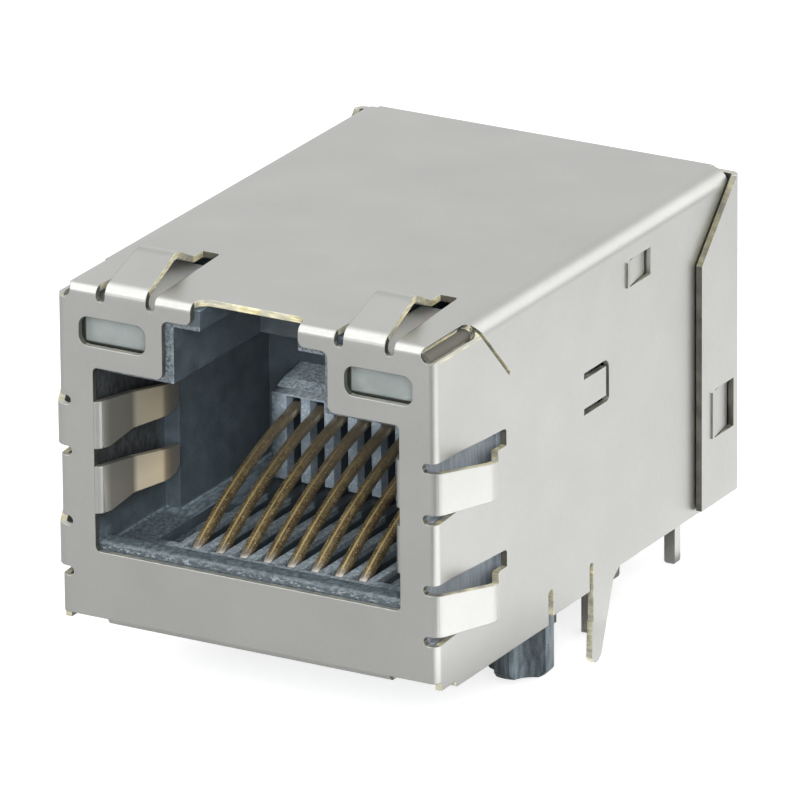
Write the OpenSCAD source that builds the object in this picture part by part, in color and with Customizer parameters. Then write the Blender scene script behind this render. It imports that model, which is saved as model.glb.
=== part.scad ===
// Shielded modular jack for a circuit board, with its isolating coils inside.
// X runs along the front plate, Y runs into the body and Z rises from the board, in millimetres.
// Depths are counted from the front plate, and the finished part is then set on the board
// with its origin midway between its two pegs.

/* [Shield] */
// Width over the side walls
shield_w = 16; // [15.8:0.1:18]
// Depth from the front plate to the back flap
shield_d = 23.1; // [22.8:0.1:26]
// Height of the top plate above the board
shield_top = 13.64; // [13.6:0.02:15]
// Thickness of the sheet
sheet = 0.25; // [0.2:0.01:0.3]
// Outer radius of the fold between top plate and side wall
top_side_r = 0.65; // [0.45:0.05:0.9]
// Outer radius of the fold between front plate and top plate
front_top_r = 0.35; // [0.32:0.01:0.5]
// Outer radius of the fold between front plate and side wall
front_side_r = 0.32; // [0.32:0.01:0.45]
// Outer radius of the folds of the back flap
rear_r = 0.4; // [0.35:0.05:0.6]
// Height of the front plate's lower edge above the board
plate_bottom = 0.6; // [0.5:0.05:0.8]
// Half width of the lip that is folded under the front plate
lip_half_w = 6; // [4:0.1:6.8]
// Reach of that lip into the body
lip_reach = 1.4; // [0.8:0.1:1.5]

/* [Port opening] */
// Width of the opening in the front plate
port_w = 12.96; // [12.8:0.02:13.1]
// Height of the opening's lower edge above the board
port_bottom = 3.22; // [3.1:0.02:3.4]
// Height of the plug part of the opening
port_h = 7.25; // [7:0.05:7.4]
// Corner radius of the opening
port_r = 0.2; // [0.1:0.05:0.4]
// Width of the latch part of the opening
latch_w = 7; // [6.6:0.1:7.2]
// Height of the latch part of the opening
latch_h = 2.33; // [2:0.01:2.4]
// Corner radius of the latch part
latch_r = 0.28; // [0.1:0.02:0.35]
// Width of the notch that breaks the top edge
notch_w = 4.54; // [4:0.02:5]
// How far that notch runs back into the top plate
notch_back = 0.8; // [0.6:0.05:1.2]
// Corner radius of that notch in the top plate
notch_r = 0.5; // [0.2:0.05:0.55]

/* [Light windows] */
// Distance from the side wall's face to a window
light_edge = 0.95; // [0.8:0.05:1.1]
// Width of a window
light_w = 2.85; // [2.4:0.05:3]
// Distance from the top plate down to a window
light_drop = 1.21; // [1:0.01:1.3]
// Height of a window
light_h = 1.16; // [0.9:0.02:1.3]
// Corner radius of a window
light_r = 0.4; // [0.1:0.05:0.44]
// Length of a light's body
light_len = 5.5; // [5:0.1:6.2]
// Depth of a light's face behind the front plate's back
light_sink = 0.25; // [0.05:0.05:0.5]

/* [Spring fingers] */
// Width of the slits beside a finger
slit_w = 0.38; // [0.25:0.01:0.5]
// How far the slits run round the fold on to the front plate
slit_wrap = 0.56; // [0.45:0.01:0.7]
// Depth at which the longer of a finger's two slits ends
finger_window_back = 5.3; // [5:0.05:5.8]
// Depth at which a finger comes back to the sheet and its shorter slit ends
finger_foot_y = 4.6; // [4.3:0.05:4.8]
// Depth of a finger's crest
finger_crest_y = 2.45; // [2.2:0.05:2.7]
// Rise of a top finger over the top plate
top_finger_rise = 0.93; // [0.6:0.01:1.1]
// Distance from the side wall's face to a top finger's window
top_finger_edge = 1.71; // [1.5:0.01:1.9]
// Width of a top finger's window
top_finger_span = 2.5; // [2.2:0.05:2.7]
// Rise of a side finger over the side wall
side_finger_rise = 1.18; // [0.8:0.02:1.4]
// Width of a side finger's window
side_finger_span = 2.38; // [2.1:0.02:2.6]
// Middle height of the upper side fingers
upper_finger_z = 8; // [7.7:0.05:8.3]
// Middle height of the lower side fingers
lower_finger_z = 3.24; // [3:0.02:3.6]

/* [Port tabs] */
// Width of a port tab at its root
tab_root_h = 1.85; // [1.5:0.05:2]
// Middle height of the upper port tabs
upper_tab_z = 8.18; // [8:0.02:8.4]
// Middle height of the lower port tabs
lower_tab_z = 5.63; // [5.4:0.02:5.8]
// How far the tabs reach back from the front plate
tab_reach = 5; // [4.6:0.05:5.1]
// How far a tab leans in from the edge of the opening
tab_lean = 0.83; // [0.7:0.01:0.9]

/* [Lances, legs and lower edge] */
// Height of the long front part of the wall's lower edge
front_edge_z = 0.05; // [0.02:0.01:0.2]
// Height of the short step at the front corner
corner_edge_z = 0.28; // [0.2:0.02:0.4]
// Height of the wall's lower edge beside the peg
middle_edge_z = 0.3; // [0.25:0.01:0.4]
// Height of the wall's lower edge behind the leg
rear_edge_z = 0.55; // [0.4:0.05:0.8]
// Depth of the slot beside the peg
peg_slot_y = 8.64; // [8.3:0.02:8.8]
// Distance from the peg's line back to the leg's line
leg_pitch = 3.05; // [2.95:0.01:3.2]
// Lowest point of the ground legs
leg_bottom = -2.7; // [-3.4:0.05:-2.65]
// Width of a leg's tip
leg_tip_w = 0.75; // [0.5:0.05:0.9]
// Depth at which the side lance starts
lance_y = 11.24; // [11:0.02:11.4]
// Length of the side lance
lance_len = 1.96; // [1.6:0.02:2.1]
// Lower height of the side lance
lance_z = 7.43; // [7:0.02:7.8]
// Height of the side lance's window
lance_h = 1.67; // [1.4:0.01:1.9]
// Depth at which the upper lance starts
upper_lance_y = 14.82; // [14.6:0.02:15.4]
// Length of the upper lance
upper_lance_len = 1.62; // [1.4:0.02:1.8]
// Lower height of the upper lance
upper_lance_z = 11.37; // [11.3:0.01:11.5]
// Height of the upper lance's window
upper_lance_h = 1.09; // [0.9:0.01:1.2]

/* [Corner reliefs] */
// Width of the slot along the top side fold
relief_w = 0.66; // [0.5:0.02:0.8]
// Length of that slot
relief_len = 3.2; // [2.8:0.05:3.4]
// Width of the slanting slit that follows it
relief_slit_w = 0.15; // [0.1:0.01:0.2]
// Length of the slanting slit
relief_slit_len = 3.3; // [2.5:0.05:3.6]
// Slope of the slanting slit below the level
relief_slit_angle = 46; // [40:1:50]

/* [Back flap] */
// Length of the flap's side flanges
flange_len = 3.15; // [2.8:0.05:3.4]
// Height at which the flange's slope starts
flange_shoulder = 10.6; // [10:0.05:10.8]
// Height of the flap's lower edge
flap_bottom = 0.75; // [0.6:0.05:1]
// Clearance between flange and side wall
flange_gap = 0.05; // [0.03:0.01:0.1]
// Lower height of the flange's lance
flange_lance_z = 3.4; // [3:0.05:3.6]
// Height of the flange's lance
flange_lance_h = 1.95; // [1.6:0.05:2.1]
// Length of the flange's lance
flange_lance_len = 1.5; // [1.2:0.05:1.6]

/* [Housing] */
// Clearance between the shield and what it holds
fit_gap = 0.1; // [0.05:0.01:0.15]
// Depth at which the housing ends
housing_back = 13; // [12.9:0.05:13.1]
// Height of the housing's underside above the board
housing_lift = 0.65; // [0.6:0.05:0.75]
// Width of the plug cavity behind the tabs
cavity_w = 11.9; // [11.8:0.02:12]
// Depth of the plug cavity
cavity_d = 12; // [11.9:0.05:12.1]
// How far the moulded edge stands inside the opening in the plate
mould_inset = 0.3; // [0.2:0.01:0.35]
// Depth of the latch channel
latch_d = 6.7; // [6:0.1:7.2]
// Height of the rounded lip at the cavity's mouth
lip_h = 0.32; // [0.2:0.02:0.4]
// Thickness of the cavity's floor
floor_t = 0.8; // [0.7:0.05:0.9]
// Depth at which the comb block starts
comb_y = 10.2; // [10:0.05:10.4]
// Height of the comb block's top above the board
comb_top = 6.96; // [6.9:0.02:7.2]
// Distance between the two pegs
peg_pitch = 12.7; // [12.5:0.05:12.8]
// Depth of the pegs' line
peg_y = 9.13; // [9.05:0.01:9.3]
// Outer radius of a peg
peg_r = 1.36; // [1.25:0.01:1.38]
// Lowest point of the pegs
peg_bottom = -2.25; // [-2.5:0.05:-2]
// Radius of the four hollows in a peg's sides
peg_hollow_r = 1.05; // [0.95:0.01:1.1]

/* [Contacts] */
// Pitch of the eight contacts
contact_pitch = 1.016; // [1.01:0.001:1.03]
// Width of a contact
contact_w = 0.41; // [0.35:0.01:0.45]
// Thickness of a contact
contact_t = 0.3; // [0.25:0.01:0.32]
// Slope of the sprung leg where it leaves the floor
contact_slope = 0.656; // [0.63:0.002:0.66]
// Bow of the sprung leg, as drop over the square of its run
contact_bow = 0.0323; // [0.031:0.0001:0.034]
// Height of the run under the floor
contact_run_z = 1.8; // [1.7:0.02:1.9]
// Width of the slots that clear a contact
contact_slot_w = 0.62; // [0.55:0.01:0.65]

/* [Coil tray and filter board] */
// Wall of the coil tray
tray_wall = 0.6; // [0.5:0.05:0.65]
// Thickness of the coil tray's floor
tray_floor = 1.5; // [1.3:0.05:1.6]
// Height of the coil tray's rim above the board
tray_top = 10; // [9.9:0.05:10.1]
// Thickness of the filter board
board_t = 0.8; // [0.6:0.05:1]
// Outer diameter of a transformer core
coil_od = 3.8; // [3.4:0.1:3.9]
// Outer diameter of a choke core
choke_od = 2.9; // [2.6:0.1:3]
// Length of a transformer core
coil_len = 1.9; // [1.6:0.1:2]
// Length of a choke core
choke_len = 1.6; // [1.4:0.1:1.8]
// Build of a winding over its core
winding_t = 0.25; // [0.15:0.01:0.28]

/* [Parts on the filter board] */
// Length of a termination resistor
resistor_len = 1.6; // [1:0.1:2]
// Width of a termination resistor
resistor_w = 0.8; // [0.5:0.05:1.25]
// Height of a termination resistor
resistor_h = 0.45; // [0.3:0.05:0.6]
// Length of the capacitor
capacitor_len = 4.5; // [3.2:0.1:4.6]
// Width of the capacitor
capacitor_w = 2; // [1.6:0.1:2.2]
// Height of the capacitor
capacitor_h = 1.6; // [1.2:0.1:1.8]

/* [Board pins] */
// Side of a square pin
pin_w = 0.46; // [0.4:0.02:0.5]
// Lowest point of the pins and light leads
pin_bottom = -2.62; // [-3:0.02:-2.4]
// Pitch of the pins across the tray
pin_pitch = 2.54; // [2.5:0.01:2.56]
// Distance between the two rows of pins
pin_row_pitch = 2.54; // [2.4:0.02:2.6]
// Distance from the back of the tray to the rear row
pin_row_edge = 0.35; // [0.32:0.01:0.6]
// Distance of an outer light lead from the middle
lead_x = 6.35; // [6.2:0.01:6.4]
// Pitch of a light's two leads
lead_pitch = 1.78; // [1.6:0.02:1.9]
// Depth at which the light leads turn down
lead_y = 14.63; // [14.5:0.01:14.75]

/* [Hidden] */
$fn = 48;

// Allowances: how far a cut runs past a face, how far joined solids sink into each other,
// the gap where one piece sits in another, and the gap where one piece passes another
past = 1;
overlap = 0.3;
seat_gap = 0.05;
slide_gap = 0.1;

// Half sizes and inner faces of the shield
half_w = shield_w / 2;
inner_half_w = half_w - sheet;
inner_top = shield_top - sheet;
flap_inner_y = shield_d - sheet;
flap_gap = 0.25;
wall_end = flap_inner_y - flap_gap;
flange_inner_x = half_w + flange_gap;
flange_outer_x = flange_inner_x + sheet;
flange_front = shield_d - flange_len;
flap_corner_gap = 0.15;
flap_half_w = half_w - top_side_r - flap_corner_gap;
flange_lance_y = flange_front + 1.05;
flange_lance_angle = 12;
upper_lance_angle = 14;

// Levels of the port
port_half_w = port_w / 2;
port_top = port_bottom + port_h;
latch_top = port_top + latch_h;

// Lights
light_window_top = shield_top - light_drop;
light_window_x = half_w - light_edge;
light_body_margin = 0.2;
light_head = 0.42;
light_body_top = light_window_top + light_head;
light_body_bottom = light_window_top - light_h - light_body_margin;
light_front = sheet + light_sink;
light_back = light_front + light_len;

// Contacts
contact_exit_y = 2.6;
contact_exit_z = 3.11;
contact_tip_y = 10.9;
contact_front_y = 2.25;
contact_turn_len = 0.9;
contact_bends = [0.4, 0.4, 0.5];
contact_face_y = contact_front_y - contact_t / 2;
contact_row_half = 4.5 * contact_pitch;

// Moulded housing
housing_half_w = inner_half_w - fit_gap;
housing_front = sheet + fit_gap;
housing_top = inner_top - fit_gap;
cavity_drop = 0.2;
cavity_floor = port_bottom;
cavity_top = port_top - cavity_drop;
pocket_top = cavity_floor - floor_t;
pocket_half_w = contact_row_half + slide_gap;
pocket_front = contact_face_y - 2 * slide_gap;
comb_half_w = contact_row_half;
comb_back_wall = 0.4;
comb_slot_back = cavity_d - comb_back_wall;
foot_w = 1.6;
foot_l = 2.4;
foot_edge = 0.9;
foot_front_y = 3.2;
foot_rear_y = housing_back - foot_l - 0.2;

// Contact carrier and the tails behind it
carrier_front = 3.4;
carrier_bottom = housing_lift + seat_gap;
carrier_overhang = 0.3;
carrier_back = housing_back + carrier_overhang;
tail_gap = 0.35;
tail_y = carrier_back + tail_gap;
tail_stub = 0.2;
tail_top = tray_top + board_t + tail_stub;

// Ground leg and the slots in the wall's lower edge
leg_y = peg_y + leg_pitch;
leg_slot_w = 0.3;
leg_lead = 0.25;
leg_root_w = 1.55;
leg_front = leg_y - leg_lead;
leg_slot_y = leg_front - leg_slot_w / 2;
peg_slot_r = 0.2;
wall_slot_top = 1.4;

// Spring fingers: half width of the foot on its slit side, and how much the window narrows
finger_foot_half = 0.22;
finger_window_taper = 0.28;

// Coil tray
tray_side_gap = 0.3;
tray_half_w = inner_half_w - fit_gap - tray_side_gap;
lead_clear = 0.35;
tray_front = lead_y + pin_w / 2 + lead_clear;
tray_back = flap_inner_y - fit_gap;
tray_toe_gap = 0.75;
tray_toe = carrier_back + tray_toe_gap;
tray_rear_wall = 1.1;
tray_floor_top = housing_lift + tray_floor;
divider_t = 0.35;
cell_w = (2 * (tray_half_w - tray_wall) - 3 * divider_t) / 4;
cell_y = (tray_front + tray_wall + tray_back - tray_rear_wall) / 2;

// Coils
bore_share = 0.24;
coil_r = coil_od / 2 + winding_t;
choke_r = choke_od / 2 + winding_t;
coil_z = tray_floor_top + coil_r + seat_gap;
choke_z = coil_z + coil_r + choke_r + seat_gap;
winding_gap = 0.02;
winding_turn = 300;

// Filter board
board_edge = 0.3;
board_front = carrier_back - slide_gap;
board_back = tray_back - board_edge;
board_half_w = tray_half_w - slide_gap;
board_r = 0.4;

// Pins and leads
pin_rear_y = tray_back - pin_row_edge;
pin_front_y = pin_rear_y - pin_row_pitch;
pin_socket = 1.2;
pin_top = housing_lift + pin_socket;
hole_gap = 0.03;
hole_w = pin_w + 2 * hole_gap;
lead_z = (light_body_top + light_body_bottom) / 2;
lead_bend = 0.7;

// Colours
steel = [0.76, 0.76, 0.74];
dark_blue = [0.20, 0.25, 0.28];
black_plastic = [0.13, 0.13, 0.14];
gold = [0.62, 0.46, 0.22];
milky = [0.72, 0.76, 0.75];
tin = [0.80, 0.80, 0.78];
board_green = [0.12, 0.32, 0.22];
ferrite = [0.22, 0.20, 0.20];
copper = [0.66, 0.36, 0.20];
chip_black = [0.10, 0.10, 0.11];
chip_tan = [0.62, 0.52, 0.38];

// Profile helpers: a flat drawing is carried along one axis.
// along_x reads the drawing as depth and height, along_y as width and height.
module along_x(x0, x1) {
    translate([x0, 0, 0]) rotate([90, 0, 90]) linear_extrude(x1 - x0) children();
}

module along_y(y0, y1) {
    translate([0, y1, 0]) rotate([90, 0, 0]) linear_extrude(y1 - y0) children();
}

module along_z(z0, z1) {
    translate([0, 0, z0]) linear_extrude(z1 - z0) children();
}

module both_sides() {
    children();
    mirror([1, 0, 0]) children();
}

// The sliver between a square corner and the arc that rounds it.
// dx and dy point from the corner into the rounded material.
module corner_sliver(x, y, dx, dy, r) {
    difference() {
        translate([min(x, x + dx * r), min(y, y + dy * r)]) square(r);
        translate([x + dx * r, y + dy * r]) circle(r);
    }
}

// One radius for all four corners
function even(r) = [r, r, r, r];

// Rectangle with a radius for each corner: lower left, lower right, upper right, upper left
module soft_rect(x0, y0, x1, y1, radii) {
    difference() {
        translate([x0, y0]) square([x1 - x0, y1 - y0]);
        if (radii[0] > 0) corner_sliver(x0, y0, 1, 1, radii[0]);
        if (radii[1] > 0) corner_sliver(x1, y0, -1, 1, radii[1]);
        if (radii[2] > 0) corner_sliver(x1, y1, -1, -1, radii[2]);
        if (radii[3] > 0) corner_sliver(x0, y1, 1, -1, radii[3]);
    }
}

// A polyline with every inner corner replaced by a curve that starts and ends reach away from it
bend_steps = 6;
function toward(a, b, d) = a + (b - a) * min(0.48, d / norm(b - a));
function bend_at(a, p, b, d) = let (s = toward(p, a, d), e = toward(p, b, d))
    [for (k = [0:bend_steps]) let (u = k / bend_steps)
        (1 - u) * (1 - u) * s + 2 * u * (1 - u) * p + u * u * e];
function softened(points, reach) = concat(
    [points[0]],
    [for (i = [1:len(points) - 2]) each bend_at(points[i - 1], points[i], points[i + 1], reach[i - 1])],
    [points[len(points) - 1]]
);

// Outline of a strip of thickness t whose middle runs along the points
function left_normal(a, b) = let (d = (b - a) / norm(b - a)) [-d[1], d[0]];
function side_line(points, offset) = [for (i = [0:len(points) - 1])
    let (a = points[max(i - 1, 0)], b = points[min(i + 1, len(points) - 1)])
    points[i] + offset * left_normal(a, b)];
function strip_outline(points, t) = let (near = side_line(points, -t / 2), far = side_line(points, t / 2))
    concat(near, [for (i = [len(far) - 1:-1:0]) far[i]]);

// Folded box of the shield, shrunk by inset on every closed side
module folded_box(inset, y_end, z_start) {
    x = half_w - inset;
    top = shield_top - inset;
    side_r = front_side_r - inset;
    top_r = top_side_r - inset;
    front_r = front_top_r - inset;
    intersection() {
        along_z(z_start, top) soft_rect(-x, inset, x, y_end, [side_r, side_r, 0, 0]);
        along_y(inset, y_end) soft_rect(-x, z_start, x, top, [0, 0, top_r, top_r]);
        along_x(-x, x) soft_rect(inset, z_start, y_end, top, [0, 0, 0, front_r]);
    }
}

// Opening in the front plate: plug part, latch part and the notch through the top edge
module port_outline() {
    latch_half = latch_w / 2;
    notch_half = notch_w / 2;
    soft_rect(-port_half_w, port_bottom, port_half_w, port_top, even(port_r));
    soft_rect(-latch_half, port_top - port_r, latch_half, latch_top, [0, 0, latch_r, latch_r]);
    translate([-notch_half, latch_top - latch_r]) square([notch_w, shield_top]);
    for (side = [-1, 1]) {
        corner_sliver(side * latch_half, port_top, side, 1, latch_r);
        corner_sliver(side * notch_half, latch_top, side, 1, latch_r);
    }
}

// Slits of a finger, drawn with the sheet's outer face at height 0: they start on the front plate,
// and the one on the +X side runs further back than the other
module finger_window(span) {
    slit_r = slit_w / 2;
    half = span / 2;
    back_half = half - finger_window_taper;
    corner_r = 0.15;
    along_y(-past, front_top_r) {
        translate([-half, slit_r - slit_wrap]) square([span, slit_wrap + past]);
        for (side = [-1, 1]) translate([side * (half - slit_r), slit_r - slit_wrap]) circle(slit_r);
    }
    along_z(-sheet - slide_gap, past) difference() {
        polygon([
            [-half, -past], [half, -past], [half, front_top_r], [back_half, finger_window_back],
            [finger_foot_half, finger_window_back], [finger_foot_half, finger_foot_y],
            [-back_half, finger_foot_y], [-half, front_top_r]
        ]);
        corner_sliver(back_half, finger_window_back, -1, -1, corner_r);
    }
}

// Spring finger: it leaves the front plate, folds back, rises to a crest and comes back to the sheet.
// Drawn with the sheet's outer face at height 0 and its root in the front plate.
module spring_finger(span, rise) {
    mid = sheet / 2;
    crest_taper = 0.1;
    foot_taper = 0.15;
    foot_len = 0.4;
    crest_lift = 0.06;
    dip = -0.05;
    root_half = span / 2 - slit_w;
    crest_half = root_half - crest_taper;
    far_half = root_half - foot_taper;
    foot_end = finger_foot_y + foot_len;
    line = [
        [mid, -slit_wrap - overlap],
        [mid, dip],
        [finger_crest_y, rise - mid + crest_lift],
        [finger_foot_y, -mid],
        [foot_end, -mid]
    ];
    intersection() {
        along_x(-root_half, root_half) polygon(strip_outline(softened(line, [0.3, 0.35, 0.3]), sheet));
        along_z(-slit_wrap - past, rise + past) polygon([
            [-root_half, -past], [root_half, -past], [root_half, front_top_r],
            [crest_half, finger_crest_y], [finger_foot_half, finger_foot_y],
            [finger_foot_half, foot_end + past], [-far_half, foot_end + past],
            [-far_half, finger_foot_y], [-crest_half, finger_crest_y], [-root_half, front_top_r]
        ]);
    }
}

// Puts a finger or its window in each of its places: two on the top plate and two on each side wall
module at_top_fingers() {
    for (side = [-1, 1])
        translate([side * (half_w - top_finger_edge - top_finger_span / 2), 0, shield_top]) children();
}

module at_side_fingers() {
    both_sides() for (z = [upper_finger_z, lower_finger_z])
        translate([half_w, 0, z]) rotate([0, 90, 0]) mirror([1, 0, 0]) children();
}

// Tab folded in from the side edge of the opening, right-hand side, at height z
module port_tab(z) {
    mid = sheet / 2;
    root = tab_root_h / 2;
    root_y = 0.6;
    kink_y = 1.8;
    crest_y = 3.7;
    tip_y = tab_reach - 0.4;
    end_y = tab_reach + past;
    kink_in = 0.53;
    tip_in = 0.58;
    line = [
        [port_half_w + overlap, mid],
        [port_half_w - mid, mid],
        [port_half_w - kink_in, kink_y],
        [port_half_w - tab_lean, crest_y],
        [port_half_w - tip_in, tab_reach]
    ];
    side_view = [
        [-past, -root], [root_y, -root], [kink_y, 0.37 - root], [crest_y, 0.27 - root], [tip_y, 0.22 - root],
        [end_y, 0], [end_y, 0.1], [crest_y, root - 0.35], [kink_y, root - 0.07], [root_y, root], [-past, root]
    ];
    translate([0, 0, z]) intersection() {
        along_z(-root, root) polygon(strip_outline(softened(line, [0.32, 0.3, 0.3]), sheet));
        along_x(port_half_w - 2 * past, port_half_w + past) polygon(side_view);
    }
}

// Round-ended slot that runs up from below, at depth y
module edge_slot(y, r, top) {
    translate([y - r, -past]) square([2 * r, top - r + past]);
    translate([y, top - r]) circle(r);
}

// Slots in a wall's lower edge, beside the peg and beside the leg
module wall_slots() {
    edge_slot(peg_slot_y, peg_slot_r, wall_slot_top);
    edge_slot(leg_slot_y, leg_slot_w / 2, wall_slot_top);
}

// Lower part of a side wall, with its stepped edge, slots and ground leg, drawn as depth and height
module wall_skirt() {
    skirt_top = plate_bottom + 2 * overlap;
    corner_len = 1.4;
    front_r = 0.1;
    back_r = 0.3;
    neck_z = 0.2;
    heel = 0.5;
    leg_back = leg_front + leg_root_w;
    tip_front = leg_y - leg_tip_w / 2;
    tip_back = leg_y + leg_tip_w / 2;
    tip_r = leg_tip_w / 3;
    difference() {
        union() {
            translate([front_side_r, corner_edge_z]) square([corner_len, skirt_top - corner_edge_z]);
            soft_rect(corner_len, front_edge_z, peg_slot_y, skirt_top, [front_r, back_r, 0, 0]);
            translate([peg_slot_y, middle_edge_z])
                square([leg_slot_y - peg_slot_y, skirt_top - middle_edge_z]);
            translate([leg_slot_y, rear_edge_z]) square([wall_end - leg_slot_y, skirt_top - rear_edge_z]);
            polygon([
                [leg_front, skirt_top], [leg_front, neck_z], [tip_front, leg_bottom + tip_r],
                [tip_front + tip_r, leg_bottom], [tip_back - tip_r, leg_bottom],
                [tip_back, leg_bottom + tip_r], [leg_back, neck_z], [leg_back + heel, rear_edge_z],
                [leg_back + heel, skirt_top]
            ]);
        }
        wall_slots();
    }
}

// Tongue of a lance: hinged at its front edge on the face at x, and pressed inward by angle
module lance_tongue(x, y, z, len, height, angle) {
    translate([x, y, z]) rotate([0, 0, angle])
        translate([-sheet, -overlap, 0]) cube([sheet, len + overlap, height]);
}

// Slot along the top side fold and the slanting slit that runs on from it, right-hand side
module corner_relief() {
    r = relief_w / 2;
    fold_mid = top_side_r * (1 - sqrt(0.5));
    sink = 0.1;
    slit_y = relief_len + sink;
    translate([half_w - fold_mid, 0, shield_top - fold_mid]) rotate([0, 45, 0]) {
        along_y(-past, relief_len - r) {
            translate([0, -sink]) circle(r);
            translate([-r, -sink]) square([relief_w, past]);
        }
        translate([0, relief_len - r, -sink - r]) cylinder(r = r, h = past + r);
    }
    along_x(inner_half_w - slide_gap, half_w + past)
        translate([slit_y, shield_top - top_side_r / 2]) rotate(-relief_slit_angle)
            translate([-overlap, -relief_slit_w / 2]) square([relief_slit_len + overlap, relief_slit_w]);
}

// Ear of the front plate that is folded back inside the top side fold, right-hand side
module corner_ear() {
    ear_end = relief_len + 2 * slide_gap;
    outer_r = top_side_r - sheet;
    inner_r = max(slide_gap, outer_r - sheet);
    translate([half_w - top_side_r, 0, shield_top - top_side_r])
        along_y(sheet / 2, ear_end) intersection() {
            difference() {
                circle(outer_r);
                circle(inner_r);
            }
            square(top_side_r);
        }
}

// Back flap: folded down from the top plate, with flanges that close round the side walls
module back_flap() {
    corner_top = flange_shoulder + flange_len - 0.35;
    inner_r = rear_r - sheet;
    difference() {
        intersection() {
            along_z(flap_bottom, corner_top) difference() {
                soft_rect(-flange_outer_x, flange_front, flange_outer_x, shield_d, [0, 0, rear_r, rear_r]);
                soft_rect(-flange_inner_x, flange_front - past, flange_inner_x, flap_inner_y,
                    [0, 0, inner_r, inner_r]);
            }
            along_x(-flange_outer_x - past, flange_outer_x + past) polygon([
                [flange_front, flap_bottom], [shield_d, flap_bottom], [shield_d, corner_top],
                [flange_front + corner_top - flange_shoulder, corner_top], [flange_front, flange_shoulder]
            ]);
        }
        both_sides() along_x(half_w - past, flange_outer_x + past)
            translate([flange_lance_y, flange_lance_z]) square([flange_lance_len, flange_lance_h]);
    }
    along_x(-flap_half_w, flap_half_w) difference() {
        soft_rect(wall_end - past, flap_bottom, shield_d, shield_top, [0, 0, rear_r, 0]);
        soft_rect(wall_end - 2 * past, flap_bottom - past, flap_inner_y, inner_top, [0, 0, inner_r, 0]);
    }
    both_sides() lance_tongue(flange_outer_x, flange_lance_y, flange_lance_z + seat_gap,
        flange_lance_len - 2 * seat_gap, flange_lance_h - 2 * seat_gap, flange_lance_angle);
}

// Cuts in the folded box: port, windows, slits, reliefs and lances
module shield_cuts() {
    slit_gap = 0.26;
    lance_radii = [0, 0.2, 0.4, 0];
    clear = 0.15;
    cut_back = sheet + slide_gap;
    cut_in = inner_half_w - slide_gap;
    along_y(-past, cut_back) port_outline();
    at_top_fingers() finger_window(top_finger_span);
    at_side_fingers() finger_window(side_finger_span);
    along_z(inner_top - past, shield_top + past)
        soft_rect(-notch_w / 2, -past, notch_w / 2, notch_back, [0, 0, notch_r, notch_r]);
    both_sides() {
        along_y(-past, cut_back)
            soft_rect(light_window_x - light_w, light_window_top - light_h, light_window_x, light_window_top,
                even(light_r));
        corner_relief();
        along_x(cut_in, half_w + past) {
            wall_slots();
            difference() {
                soft_rect(lance_y, lance_z, lance_y + lance_len, lance_z + lance_h, lance_radii);
                translate([lance_y - past, lance_z + slit_gap])
                    square([lance_len + past - slit_gap, lance_h - 2 * slit_gap]);
            }
            translate([upper_lance_y, upper_lance_z]) square([upper_lance_len, upper_lance_h]);
            translate([flange_lance_y - clear, flange_lance_z - clear])
                square([flange_len, flange_lance_h + 2 * clear]);
        }
    }
}

// One folded sheet: front plate, top, side walls, fingers, tabs, lances, legs and back flap
module shield() {
    crimp_back = 1.3;
    crimp_len = 1.4;
    crimp_reach = 0.7;
    color(steel) {
        difference() {
            folded_box(0, wall_end, plate_bottom);
            folded_box(sheet, wall_end + past, plate_bottom - past);
            shield_cuts();
        }
        back_flap();
        at_top_fingers() spring_finger(top_finger_span, top_finger_rise);
        at_side_fingers() spring_finger(side_finger_span, side_finger_rise);
        both_sides() {
            corner_ear();
            for (z = [upper_tab_z, lower_tab_z]) port_tab(z);
            along_x(inner_half_w, half_w) wall_skirt();
            lance_tongue(half_w, upper_lance_y, upper_lance_z + seat_gap,
                upper_lance_len - seat_gap, upper_lance_h - 2 * seat_gap, upper_lance_angle);
            translate([inner_half_w - crimp_reach, peg_slot_y + crimp_back, middle_edge_z])
                cube([crimp_reach + sheet, crimp_len, sheet]);
        }
        along_x(-lip_half_w, lip_half_w) difference() {
            soft_rect(0, plate_bottom - sheet, lip_reach, plate_bottom + overlap, [front_side_r, 0, 0, 0]);
            translate([sheet, plate_bottom]) square([lip_reach, past]);
        }
    }
}

// Section of a peg: a round post with four hollows that leave lobes along X and Y
module peg_section() {
    web_r = 0.9;
    hollow_at = web_r + peg_hollow_r;
    difference() {
        circle(peg_r);
        for (a = [45:90:315]) rotate(a) translate([hollow_at, 0]) circle(peg_hollow_r);
    }
}

module peg() {
    chamfer = 0.25;
    outer_r = peg_r + slide_gap;
    translate([peg_pitch / 2, peg_y, 0]) intersection() {
        along_z(peg_bottom, housing_lift + overlap) peg_section();
        rotate_extrude() polygon([
            [0, peg_bottom], [peg_r - chamfer, peg_bottom], [outer_r, peg_bottom + chamfer + slide_gap],
            [outer_r, housing_lift + past], [0, housing_lift + past]
        ]);
    }
}

// Pocket for a light and the grooves for its leads, right-hand side
module light_pocket() {
    behind = 0.6;
    groove_half = pin_w / 2 + slide_gap;
    x0 = light_window_x - light_w - light_body_margin - seat_gap;
    x1 = light_window_x + light_body_margin + seat_gap;
    translate([x0, -past, light_body_bottom - seat_gap])
        cube([x1 - x0, light_back + behind + past, shield_top]);
    for (x = [lead_x, lead_x - lead_pitch])
        translate([x - groove_half, light_back, lead_z - groove_half])
            cube([2 * groove_half, housing_back, shield_top]);
}

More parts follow.
